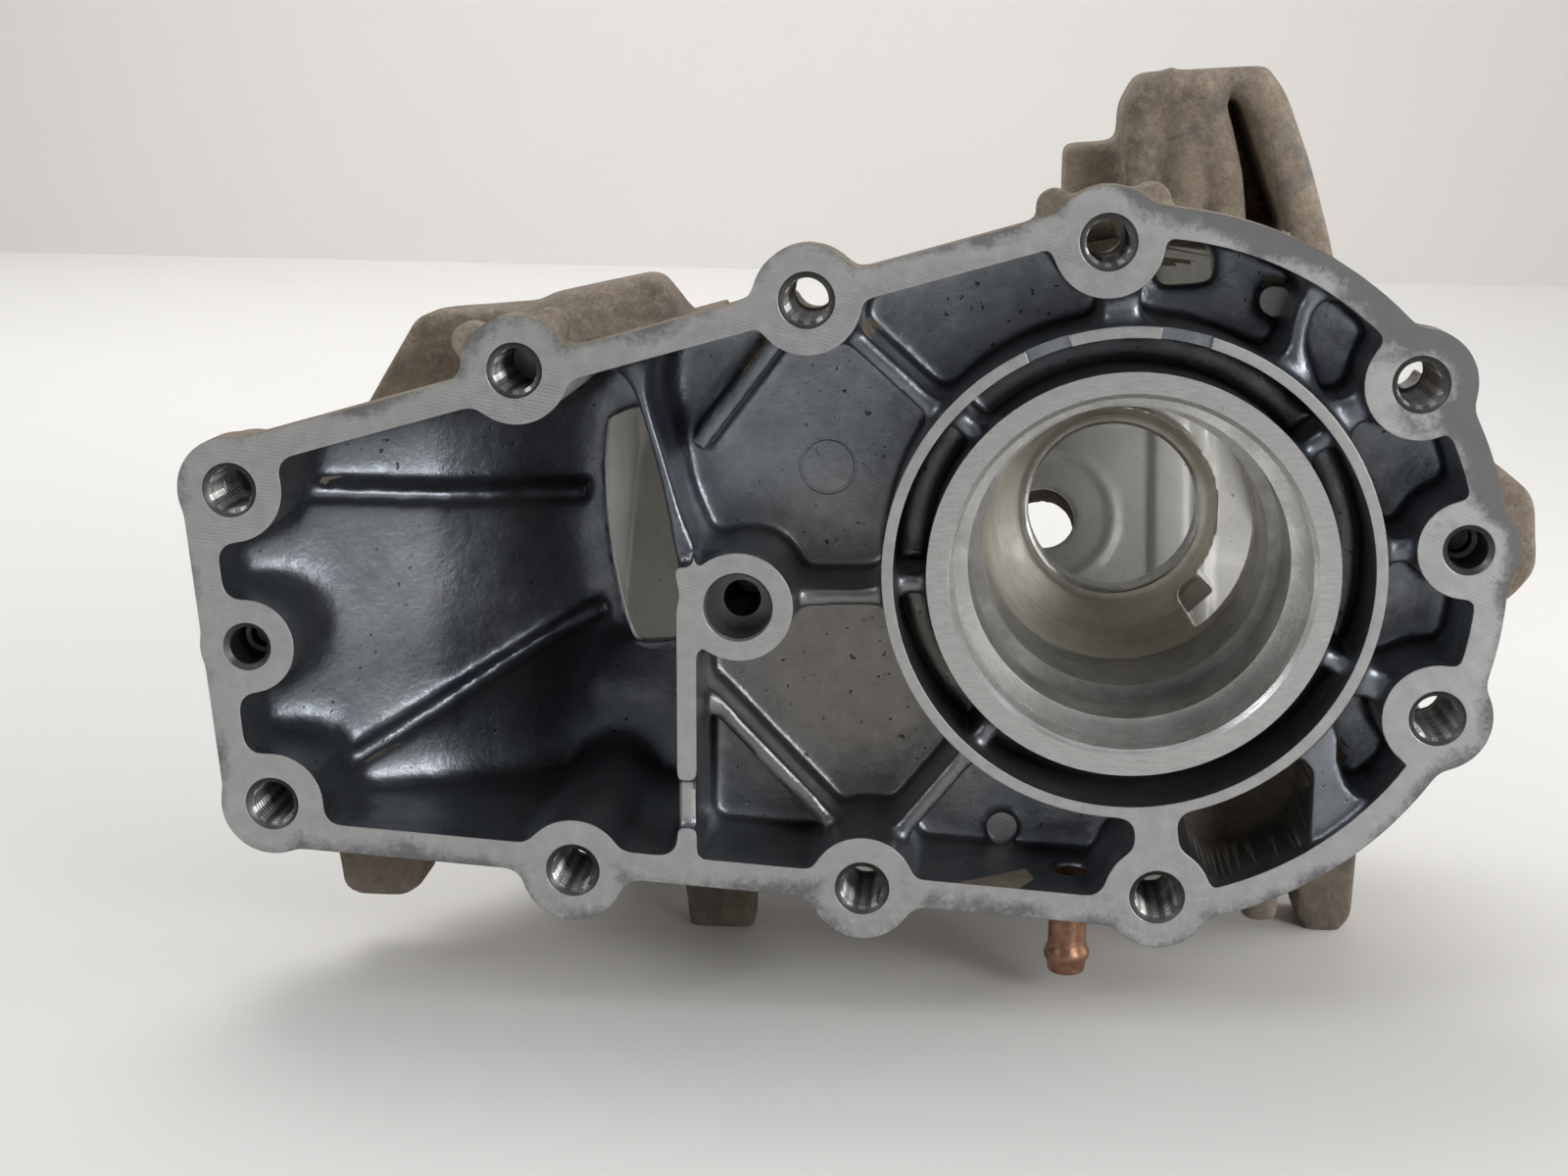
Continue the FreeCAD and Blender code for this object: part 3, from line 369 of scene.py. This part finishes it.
PITCH = 1.5
PORT_FOOT = Vector((-14.7, 130.19, -11.9))
threads = [thread_tool(5.05, SCREW_BORE, PITCH, 21, (x, 0.6, z), INTO) for x, z in SCREW_HOLES]
threads.append(thread_tool(8.8, 8, PITCH, 18, PORT_FOOT - BACK_WAY * 3, BACK_WAY, 36))
machine(housing, threads)
joint_mill = block_tool((-260, -20, -150), (150, 0, 150))
cover_mill = block_tool((COVER_LEVEL, 62, -40), (70, 142, 48))
machine(housing, [joint_mill, cover_mill])
machine(housing, details)
machine(housing, [block_tool((-260, -30, -120), (150, 200, FOOT_LEVEL))])
SHARP_ANGLE = math.radians(34)
housing.data.set_sharp_from_angle(angle=SHARP_ANGLE)
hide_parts("housing")
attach(housing, "root")


# Surfaces of the housing: one finish for each way in which the metal was made or has aged, some with
# painted light or shade in their colours, and each face of the mesh takes the one that its place calls for.
# Lengths inside a finish are metres.
def add(tree, kind, inputs=None, **settings):
    """A shader node with its inputs linked or set."""
    item = tree.nodes.new("ShaderNode" + kind)
    for key, value in settings.items():
        setattr(item, key, value)
    for key, value in (inputs or {}).items():
        if isinstance(value, bpy.types.NodeSocket):
            tree.links.new(value, item.inputs[key])
        else:
            item.inputs[key].default_value = value
    return item


def finish(name):
    """A fresh material, its node tree, its main shader and the object coordinates."""
    paint = bpy.data.materials.new(name)
    paint.use_nodes = True
    tree = paint.node_tree
    place = add(tree, "TexCoord").outputs["Object"]
    return paint, tree, tree.nodes["Principled BSDF"], place


def grain(tree, place, scale, detail=5, roughness=0.6, stretch=(1, 1, 1)):
    """Noise between 0 and 1; the scale is in grains per metre."""
    spread = add(tree, "Mapping", {"Vector": place, "Scale": stretch})
    noise = add(tree, "TexNoise", {"Vector": spread.outputs[0], "Scale": scale, "Detail": detail,
                                   "Roughness": roughness})
    return noise.outputs["Fac"]


def span(tree, value, low, high, start=0.0, end=1.0):
    """A value carried from one range to another and held there."""
    return add(tree, "MapRange", {"Value": value, "From Min": low, "From Max": high, "To Min": start,
                                  "To Max": end}).outputs[0]


def reckon(tree, operation, a, b):
    """One sum of two values."""
    return add(tree, "Math", {0: a, 1: b}, operation=operation).outputs[0]


def added(tree, *values):
    """The sum of several values."""
    total = values[0]
    for value in values[1:]:
        total = reckon(tree, "ADD", total, value)
    return total


def times(tree, a, b):
    """The product of two values."""
    return reckon(tree, "MULTIPLY", a, b)


def along_axis(tree, place, axis):
    """One coordinate of a place."""
    return add(tree, "SeparateXYZ", {0: place}).outputs[axis]


def away_from(tree, place, point):
    """The distance of a place from a point."""
    return add(tree, "VectorMath", {0: place, 1: point}, operation="DISTANCE").outputs["Value"]


def blend(tree, amount, first, second):
    """A mix of two colours."""
    item = add(tree, "Mix", {0: amount}, data_type="RGBA")
    for socket, colour in ((item.inputs[6], first), (item.inputs[7], second)):
        if isinstance(colour, bpy.types.NodeSocket):
            tree.links.new(colour, socket)
        else:
            socket.default_value = (*colour, 1)
    return item.outputs[2]


def dent(tree, height, distance, under=None):
    """A bump of so many metres for a height between 0 and 1."""
    inputs = {"Height": height, "Strength": 1.0, "Distance": distance}
    if under is not None:
        inputs["Normal"] = under
    return add(tree, "Bump", inputs).outputs[0]


def dress(tree, shader, inputs):
    """Links or sets inputs of the main shader."""
    for key, value in inputs.items():
        if isinstance(value, bpy.types.NodeSocket):
            tree.links.new(value, shader.inputs[key])
        else:
            shader.inputs[key].default_value = value


BOSS_RADIUS = 11


def rim_distance(tree, place):
    """How far a point of the joint face lies inside the outline of the flange and its bosses."""
    face = add(tree, "CombineXYZ", {0: along_axis(tree, place, 0), 2: along_axis(tree, place, 2)}).outputs[0]
    inside = 1.0
    for side in TAIL_SIDES:
        ax, az = side[0]
        nx, nz = side_normal(side, TAIL_MIDDLE)
        reach = add(tree, "VectorMath", {0: face, 1: (nx, 0, nz)}, operation="DOT_PRODUCT").outputs["Value"]
        depth = reckon(tree, "SUBTRACT", reach, (nx * ax + nz * az) * MM)
        inside = reckon(tree, "MINIMUM", depth, inside)
    bosses = [(hx, hz, BOSS_RADIUS) for hx, hz in SCREW_HOLES + DOWEL_HOLES]
    for cx, cz, radius in [(0, 0, CASE_RADIUS)] + bosses:
        away = away_from(tree, face, (cx * MM, 0, cz * MM))
        inside = reckon(tree, "MAXIMUM", inside, reckon(tree, "SUBTRACT", radius * MM, away))
    return inside


def milled_finish():
    """Milled face: satin grey with fine arcs of the cutter, and dark stains along the outer edge."""
    paint, tree, shader, place = finish("milled_face")
    speck = grain(tree, place, 1400, 3)
    cloud = grain(tree, place, 55, 5, 0.62)
    crumb = grain(tree, place, 520, 7, 0.85)
    tone = span(tree, grain(tree, place, 260, 5, 0.7), 0.35, 0.65)
    metal = blend(tree, tone, (0.37, 0.37, 0.37), (0.45, 0.45, 0.45))
    rim = span(tree, rim_distance(tree, place), 0.0, 0.0065, 1.0, 0.0)
    height = along_axis(tree, place, 2)
    corner = span(tree, added(tree, along_axis(tree, place, 0), height), 0.062, 0.085, 0.0, 0.32)
    mark = added(tree, times(tree, rim, 0.42), times(tree, cloud, 1.1), corner, times(tree, crumb, 0.75))
    stain = span(tree, mark, 1.22, 1.42)
    # Lighter in patches towards the bottom of the face.
    low = span(tree, height, -0.05, -0.075)
    pale_low_patches = times(tree, low, span(tree, grain(tree, place, 500, 6, 0.75), 0.5, 0.66))
    metal = blend(tree, times(tree, pale_low_patches, 0.75), metal, (0.58, 0.58, 0.57))
    metal = blend(tree, times(tree, stain, 0.78), metal, (0.06, 0.06, 0.063))
    sweep = add(tree, "Mapping", {"Vector": place, "Location": (0.25, 0, 0.62)})
    lines = add(tree, "TexWave", {"Vector": sweep.outputs[0], "Scale": 420, "Distortion": 1.5, "Detail": 2,
                                  "Detail Scale": 2.0}, wave_type="RINGS", rings_direction="Y")
    edge = add(tree, "Bevel", {"Radius": 0.0004}, samples=4).outputs[0]
    relief = dent(tree, lines.outputs["Fac"], 0.000012, edge)
    relief = dent(tree, speck, 0.00002, relief)
    dress(tree, shader, {"Base Color": metal, "Metallic": span(tree, stain, 0, 1, 0.9, 0.2),
                         "Roughness": span(tree, mark, 0.9, 1.4, 0.36, 0.6), "Normal": relief})
    return paint


def cast_finish():
    """Skin of the die inside the pockets: smooth, blue-grey, with brownish oxide in patches; painted shade
    in the groove and left chamber.
    """
    paint, tree, shader, place = finish("cast_inside")
    cloud = grain(tree, place, 45, 6, 0.65)
    fine = grain(tree, place, 900, 5, 0.7)
    mottle = grain(tree, place, 260, 6, 0.78)
    metal = blend(tree, span(tree, cloud, 0.35, 0.65), (0.13, 0.145, 0.165), (0.24, 0.255, 0.275))
    # Painted shade: the floor of the deep ring groove round the bore is made an even darker slate.
    groove = away_from(tree, place, (0, 0.012, 0))
    groove_painted_shade = times(tree, span(tree, groove, 0.040, 0.042), span(tree, groove, 0.060, 0.051))
    groove_painted_shade = times(tree, groove_painted_shade, span(tree, along_axis(tree, place, 1), 0.005, 0.012))
    metal = blend(tree, times(tree, groove_painted_shade, 0.8), metal, (0.15, 0.155, 0.165))
    # Painted shade: the cast skin is darker over the deep left chamber.
    left = span(tree, along_axis(tree, place, 0), -0.086, -0.096, 0.0, 0.3)
    metal = blend(tree, left, metal, (0.05, 0.055, 0.065))
    warm = span(tree, away_from(tree, place, (-0.055, 0.03, -0.026)), 0.018, 0.045, 0.8, 0.0)
    metal = blend(tree, warm, metal, (0.20, 0.185, 0.165))
    patch = added(tree, span(tree, cloud, 0.52, 0.7, 0, 0.6), span(tree, mottle, 0.5, 0.72))
    oxide = span(tree, patch, 0.75, 1.25, 0.0, 0.7)
    metal = blend(tree, oxide, metal, (0.15, 0.125, 0.10))
    pits = span(tree, grain(tree, place, 620, 2, 0.5), 0.70, 0.76)
    metal = blend(tree, times(tree, pits, 0.8), metal, (0.02, 0.02, 0.022))
    relief = dent(tree, fine, 0.00006)
    relief = dent(tree, cloud, 0.0006, relief)
    relief = dent(tree, pits, -0.0001, relief)
    dress(tree, shader, {"Base Color": metal, "Metallic": span(tree, oxide, 0, 0.7, 0.85, 0.35),
                         "Roughness": span(tree, mottle, 0.35, 0.7, 0.27, 0.44), "Normal": relief})
    return paint


def weathered_finish():
    """Outside of the casting: sandy, brown with old dirt, darker in patches, with painted shade towards the
    bottom.
    """
    paint, tree, shader, place = finish("weathered_outside")
    cloud = grain(tree, place, 38, 7, 0.68)
    sand = grain(tree, place, 1500, 6, 0.8)
    grit = grain(tree, place, 420, 6, 0.75)
    metal = blend(tree, span(tree, cloud, 0.34, 0.66), (0.165, 0.13, 0.095), (0.35, 0.285, 0.215))
    metal = blend(tree, span(tree, grit, 0.45, 0.72, 0.0, 0.65), metal, (0.50, 0.43, 0.34))
    metal = blend(tree, span(tree, sand, 0.53, 0.66, 0.0, 0.7), metal, (0.075, 0.06, 0.05))
    bare = span(tree, grain(tree, place, 70, 6, 0.7), 0.56, 0.68, 0.0, 0.7)
    metal = blend(tree, bare, metal, (0.20, 0.20, 0.20))
    # Painted shade: the outside darkens towards the bottom.
    low = span(tree, along_axis(tree, place, 2), 0.03, -0.07, 0.0, 0.5)
    metal = blend(tree, low, metal, (0.07, 0.06, 0.05))
    relief = dent(tree, grit, 0.0006)
    relief = dent(tree, sand, 0.0003, relief)
    dress(tree, shader, {"Base Color": metal, "Metallic": span(tree, bare, 0, 0.7, 0.05, 0.5),
                         "Roughness": 0.86, "Normal": relief})
    return paint


def turned_finish(name, light, dark, gloss, pitted):
    """Metal turned on a lathe: fine rings round the main bore, with a few stains and pits; the given colours
    hold painted light for the bowl and painted shade for the deep steps and the drilled holes.
    """
    paint, tree, shader, place = finish(name)
    cloud = grain(tree, place, 90, 6, 0.7)
    speck = grain(tree, place, 1100, 4, 0.7)
    metal = blend(tree, span(tree, cloud, 0.35, 0.68), light, dark)
    metal = blend(tree, span(tree, speck, 0.62, 0.76, 0.0, pitted), metal, (0.035, 0.03, 0.026))
    lines = grain(tree, place, 700, 4, 0.8, (0.03, 1, 0.03))
    metal = blend(tree, span(tree, lines, 0.52, 0.7, 0.0, 0.45), metal, tuple(0.4 * v for v in dark))
    relief = dent(tree, lines, 0.00006)
    relief = dent(tree, speck, 0.00003, relief)
    dull = span(tree, cloud, 0.3, 0.7, gloss, gloss + 0.15)
    dress(tree, shader, {"Base Color": metal, "Metallic": 0.9, "Roughness": dull, "Normal": relief})
    return paint


def ring_finish():
    """Faced ring round the bore: light metal with fine scratches across its circles."""
    paint, tree, shader, place = finish("faced_ring")
    speck = grain(tree, place, 1500, 3)
    scratch = grain(tree, place, 650, 4, 0.8, (0.35, 1, 2.4))
    metal = blend(tree, span(tree, scratch, 0.3, 0.7), (0.36, 0.36, 0.36), (0.52, 0.52, 0.51))
    metal = blend(tree, span(tree, speck, 0.6, 0.75, 0.0, 0.5), metal, (0.12, 0.12, 0.12))
    relief = dent(tree, scratch, 0.00002)
    relief = dent(tree, speck, 0.00003, relief)
    dress(tree, shader, {"Base Color": metal, "Metallic": 0.9, "Roughness": 0.34, "Normal": relief})
    return paint


def rear_finish():
    """Inside of the rear chamber: a satin skin with brown smudges and dark specks, painted pale for the
    light that comes in through its openings.
    """
    paint, tree, shader, place = finish("rear_inside")
    cloud = grain(tree, place, 30, 5, 0.6)
    speck = grain(tree, place, 500, 4, 0.6)
    # Painted light: the pale, hardly metallic base colour stands for light falling into the rear chamber.
    metal = blend(tree, span(tree, cloud, 0.35, 0.65), (0.70, 0.69, 0.66), (0.84, 0.83, 0.80))
    smudge = span(tree, grain(tree, place, 75, 6, 0.7), 0.56, 0.74, 0.0, 0.5)
    metal = blend(tree, smudge, metal, (0.42, 0.36, 0.28))
    metal = blend(tree, span(tree, speck, 0.68, 0.74, 0.0, 0.8), metal, (0.08, 0.07, 0.06))
    relief = dent(tree, grain(tree, place, 1200, 4), 0.00005)
    dress(tree, shader, {"Base Color": metal, "Metallic": 0.15, "Roughness": 0.42, "Normal": relief})
    return paint


FINISHES = [cast_finish(), weathered_finish(), milled_finish(), rear_finish(),
            turned_finish("turned_bore", (0.66, 0.66, 0.65), (0.46, 0.45, 0.43), 0.2, 0.5),
            # Painted light: the bowl's pale colour stands for light coming in from the rear chamber.
            turned_finish("pale_bowl_painted_light", (0.74, 0.71, 0.64), (0.58, 0.55, 0.47), 0.42, 0.75),
            # Painted shade: the drilled holes and thread roots take a very dark colour.
            turned_finish("drilled_hole", (0.16, 0.155, 0.15), (0.07, 0.068, 0.065), 0.34, 0.5),
            turned_finish("thread_crests", (0.42, 0.41, 0.40), (0.22, 0.215, 0.21), 0.3, 0.3),
            ring_finish(),
            # Painted shade: the steps deep in the bore are darker; the pits are marks of the metal.
            turned_finish("pitted_steps_painted_shade", (0.46, 0.455, 0.44), (0.26, 0.25, 0.235), 0.27, 0.8)]
CAST, OUTSIDE, MILLED, REAR, TURNED, BOWL, DRILLED, CREST, RING, STEPS = range(len(FINISHES))
housing.data.materials.clear()
for paint in FINISHES:
    housing.data.materials.append(paint)

# Depth of the pockets' floors along the joint face, and the outline of the rear chamber's inside.
FLOOR_LINE = [(-210, 10), (-192, 12), (-176, 23), (-150, 37), (-128, 55), (-120, 61), (-88, 61), (-87.9, 32),
              (90, 32)]
REAR_MIDDLE = (-40, 0)
REAR_CORNERS = [(52, -66), (52, 51.5), (40, 63.5), (-2, 70.5), (-26, 65.5), (-72, 43.5), (-132, 31.5),
                (-132, -66)]
REAR_SIDES = list(zip(REAR_CORNERS, REAR_CORNERS[1:] + REAR_CORNERS[:1]))
# Finishes inside the main bore: radius, first and last depth, and the finish.
BORE_BANDS = [(38, -1, 14.2, TURNED), (38, 14.1, 54.3, STEPS), (31, 54.05, 79.3, BOWL),
              (24.7, 78.9, 87.5, TURNED)]
FLAT = 0.99


def sort_faces(mesh):
    """The finish of each face, from its middle and its normal."""
    count = len(mesh.polygons)
    middle = np.empty(count * 3)
    normal = np.empty(count * 3)
    mesh.polygons.foreach_get("center", middle)
    mesh.polygons.foreach_get("normal", normal)
    x, y, z = middle.reshape(-1, 3).T * 1000
    nx, ny, nz = normal.reshape(-1, 3).T
    kind = np.full(count, OUTSIDE)
    radius = np.hypot(x, z)
    # The pockets and the left chamber, but not the outside of their walls.
    rim = inside_rim(x, z)
    floor_depth = np.interp(x, [p[0] for p in FLOOR_LINE], [p[1] for p in FLOOR_LINE])
    in_front = (y < floor_depth + np.where(x > -86, 2.5, 10)) & ~((ny > 0.2) & (y > floor_depth - 4))
    core_x = np.clip(x, -150, 0)
    core_z = np.interp(x, [-190, 0], [-22, 0])
    facing_out = nx * (x - core_x) + nz * (z - core_z) > 0.35 * np.hypot(x - core_x, z - core_z)
    in_front &= ~((rim < 15) & (y > 9) & (facing_out | (ny > 0.35)))
    kind[(rim > 4) & in_front] = CAST
    # The rear chamber, which narrows towards its slanted rear wall.
    taper = 7 * np.clip((y - 32) / 109, 0, 1)
    reach = inward(REAR_SIDES, x, z, REAR_MIDDLE) - taper
    middle_x, middle_z = REAR_MIDDLE
    facing = (nx * (middle_x - x) + nz * (middle_z - z)) / np.hypot(x - middle_x, z - middle_z)
    in_rear = (reach > 6) | ((reach > 2.5) & (facing > -0.3)) | ((reach > -2.5) & (facing > 0.5))
    slant = 0.89 * (y - 146) - 0.456 * (z - 8)
    in_rear &= (y > 32.5) & (y < 143.5) & (slant < -2.5)
    in_rear &= (x > -87.5) | (y > floor_depth + 12) | ((ny > 0.2) & (y > floor_depth - 4))
    in_rear &= (y > 45) | (ny > -0.3) | (radius < 49)
    kind[in_rear] = REAR
    # The bowl's pale finish is painted light, and the darker finish of the deeper steps is painted shade.
    for size, start, end, look in BORE_BANDS:
        kind[(radius < size) & (y > start) & (y < end)] = look
    # Painted shade: the drilled holes take the very dark finish.
    for hx, hz in SCREW_HOLES + DOWEL_HOLES + [PIVOT]:
        kind[(np.hypot(x - hx, z - hz) < np.where(y < 2, 6.2, 5.4)) & (y < 25)] = DRILLED
    # The walls of the side opening and of the rear opening, which take the rear chamber's painted light.
    kind[(x > 40) & (x < COVER_LEVEL - 0.05) & (np.abs(y - 101) < 27.5) & (np.abs(z - 4) < 33.5)] = REAR
    along = BACK_WAY.y * (y - BACK_FACE.y) + BACK_WAY.z * (z - BACK_FACE.z)
    upward = -BACK_WAY.z * (y - BACK_FACE.y) + BACK_WAY.y * (z - BACK_FACE.z)
    kind[(np.abs(x + 80) < 27.5) & (np.abs(upward) < 27.5) & (np.abs(along + 4.5) < 4.4)] = REAR
    # The side cover's holes take the same painted shade.
    for hy, hz in COVER_HOLES:
        kind[(np.hypot(y - hy, z - hz) < 3.3) & (x > 43)] = DRILLED
    for hx, hz in SCREW_HOLES:
        kind[(np.hypot(x - hx, z - hz) < 4.5) & (y > 0.5) & (y < 23)] = CREST
    for hx, hz, level, size in PADS:
        kind[(np.hypot(x - hx, z - hz) < size) & (np.abs(y - level) < 0.1)] = MILLED
    lower_bay = (x > 14) & (x < 47) & (z > -66) & (z < -38) & (y > 14) & (y < 36)
    kind[lower_bay & (rim > 4) & (radius > 51)] = OUTSIDE
    # The milled faces.
    joint = (y < 0.01) & (ny < -FLAT)
    kind[joint] = MILLED
    kind[joint & (radius < 41.6)] = RING
    kind[(np.abs(x - COVER_LEVEL) < 0.1) & (nx > FLAT)] = MILLED
    kind[(x > -94) & (x < -85) & (z > -57) & (z < -43) & (y < 4) & (ny < -0.9)] = MILLED
    kind[(np.abs(along) < 0.1) & (ny * BACK_WAY.y + nz * BACK_WAY.z > FLAT)] = MILLED
    kind[(z < FOOT_LEVEL + 0.1) & (nz < -FLAT)] = MILLED
    mesh.polygons.foreach_set("material_index", kind.astype(np.int32))


sort_faces(housing.data)


# Hose nipple: a copper-coloured tube with a rolled bead, pressed into its boss under the flange.
NIPPLE_LINE = [(3.0, -67), (3.0, -88.5), (3.2, -88.9), (3.5, -89), (3.8, -88.8), (4.0, -88.2), (4.05, -87),
               (4.3, -86.4), (4.7, -85.8), (4.88, -85.2), (4.88, -84.6), (4.7, -84), (4.3, -83.3),
               (4.02, -82.6), (4.0, -67)]
tube = turned_tool(NIPPLE_LINE, (-10.2, 14, 0), (0, 0, 1), 64, loop=True)
nipple = piece_from(tube, "hose_nipple_tube")
nipple.data.set_sharp_from_angle(angle=math.radians(40))
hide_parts("hose_nipple")
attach(nipple, "root")


def copper_finish():
    """Dull copper, browner in cloudy patches."""
    paint, tree, shader, place = finish("dull_copper")
    cloud = grain(tree, place, 260, 6, 0.7)
    metal = blend(tree, span(tree, cloud, 0.35, 0.65), (0.17, 0.085, 0.055), (0.40, 0.22, 0.14))
    relief = dent(tree, grain(tree, place, 1500, 4), 0.00005)
    dress(tree, shader, {"Base Color": metal, "Metallic": 0.85, "Roughness": 0.36, "Normal": relief})
    return paint


nipple.data.materials.append(copper_finish())


# Setting: a pale table that ends at a pale wall, light from above, behind and the sides, and a
# darker room on the camera's side, which the metal reflects.
def plain_finish(name, colour, roughness):
    """An even paint with a little cloudiness."""
    paint, tree, shader, place = finish(name)
    cloud = grain(tree, place, 3, 4)
    shade = blend(tree, cloud, tuple(v * 0.97 for v in colour), tuple(min(1, v * 1.02) for v in colour))
    dress(tree, shader, {"Base Color": shade, "Roughness": roughness})
    return paint


TABLE_LEVEL = -0.0951
table = bmesh.new()
bmesh.ops.create_grid(table, x_segments=1, y_segments=1, size=5)
bmesh.ops.translate(table, vec=(0, 0, TABLE_LEVEL), verts=table.verts)
floor = piece_from(table, "floor")
floor.data.materials.append(plain_finish("pale_table", (0.76, 0.745, 0.72), 0.7))

WALL_TURN = math.radians(-7.7)
screen = bmesh.new()
upright = Matrix.Rotation(math.radians(90), 4, "X")
bmesh.ops.create_grid(screen, x_segments=1, y_segments=1, size=4, matrix=upright)
stand = Matrix.Translation((-0.236, 1.95, TABLE_LEVEL + 3.9)) @ Matrix.Rotation(WALL_TURN, 4, "Z")
bmesh.ops.transform(screen, verts=screen.verts, matrix=stand)
wall = piece_from(screen, "wall")
wall.data.materials.append(plain_finish("pale_wall", (0.80, 0.775, 0.75), 0.8))

room = bpy.context.scene.world or bpy.data.worlds.new("room")
bpy.context.scene.world = room
room.use_nodes = True
sky = room.node_tree
for item in list(sky.nodes):
    sky.nodes.remove(item)
way = add(sky, "TexCoord").outputs["Generated"]
overhead = span(sky, along_axis(sky, way, 2), 0.0, 0.7, 0.72, 1.15)
behind = span(sky, along_axis(sky, way, 1), -0.6, 0.3, 0.24, 1.0)
glow = add(sky, "Background", {"Color": (0.96, 0.975, 1.0, 1), "Strength": times(sky, overhead, behind)})
sky.links.new(glow.outputs[0], add(sky, "OutputWorld").inputs[0])


def soft_light(name, place, target, size, power, spread=180):
    """A square area light that looks at a point."""
    lamp = bpy.data.lights.new(name, "AREA")
    lamp.size = size
    lamp.energy = power
    lamp.spread = math.radians(spread)
    obj = bpy.data.objects.new(name, lamp)
    bpy.context.scene.collection.objects.link(obj)
    obj.location = place
    obj.rotation_euler = (Vector(target) - Vector(place)).to_track_quat("-Z", "Y").to_euler()


soft_light("ceiling", (-0.35, 0.6, 1.25), (-0.05, 0.1, 0), 0.7, 7)
soft_light("window_right", (0.95, -1.0, 0.4), (-0.05, 0, 0), 0.6, 11)
soft_light("window_left", (-1.1, -0.7, 0.8), (-0.05, 0, 0), 0.5, 3)
soft_light("side_light", (0.6, 0.22, 0.18), (0.05, 0.1, 0.0), 0.45, 1.6)
soft_light("wall_light", (-0.5, 1.1, 1.6), (-0.5, 1.95, 0.1), 1.6, 10, 120)

camera = bpy.data.objects.new("camera", bpy.data.cameras.new("camera"))
bpy.context.scene.collection.objects.link(camera)
camera.location = (-0.03072, -0.46461, 0.09755)
camera.rotation_euler = (math.radians(77.7448), math.radians(-0.2663), math.radians(4.8877))
camera.data.sensor_width = 36
camera.data.lens = 54
bpy.context.scene.camera = camera
bpy.context.scene.view_settings.view_transform = "Standard"
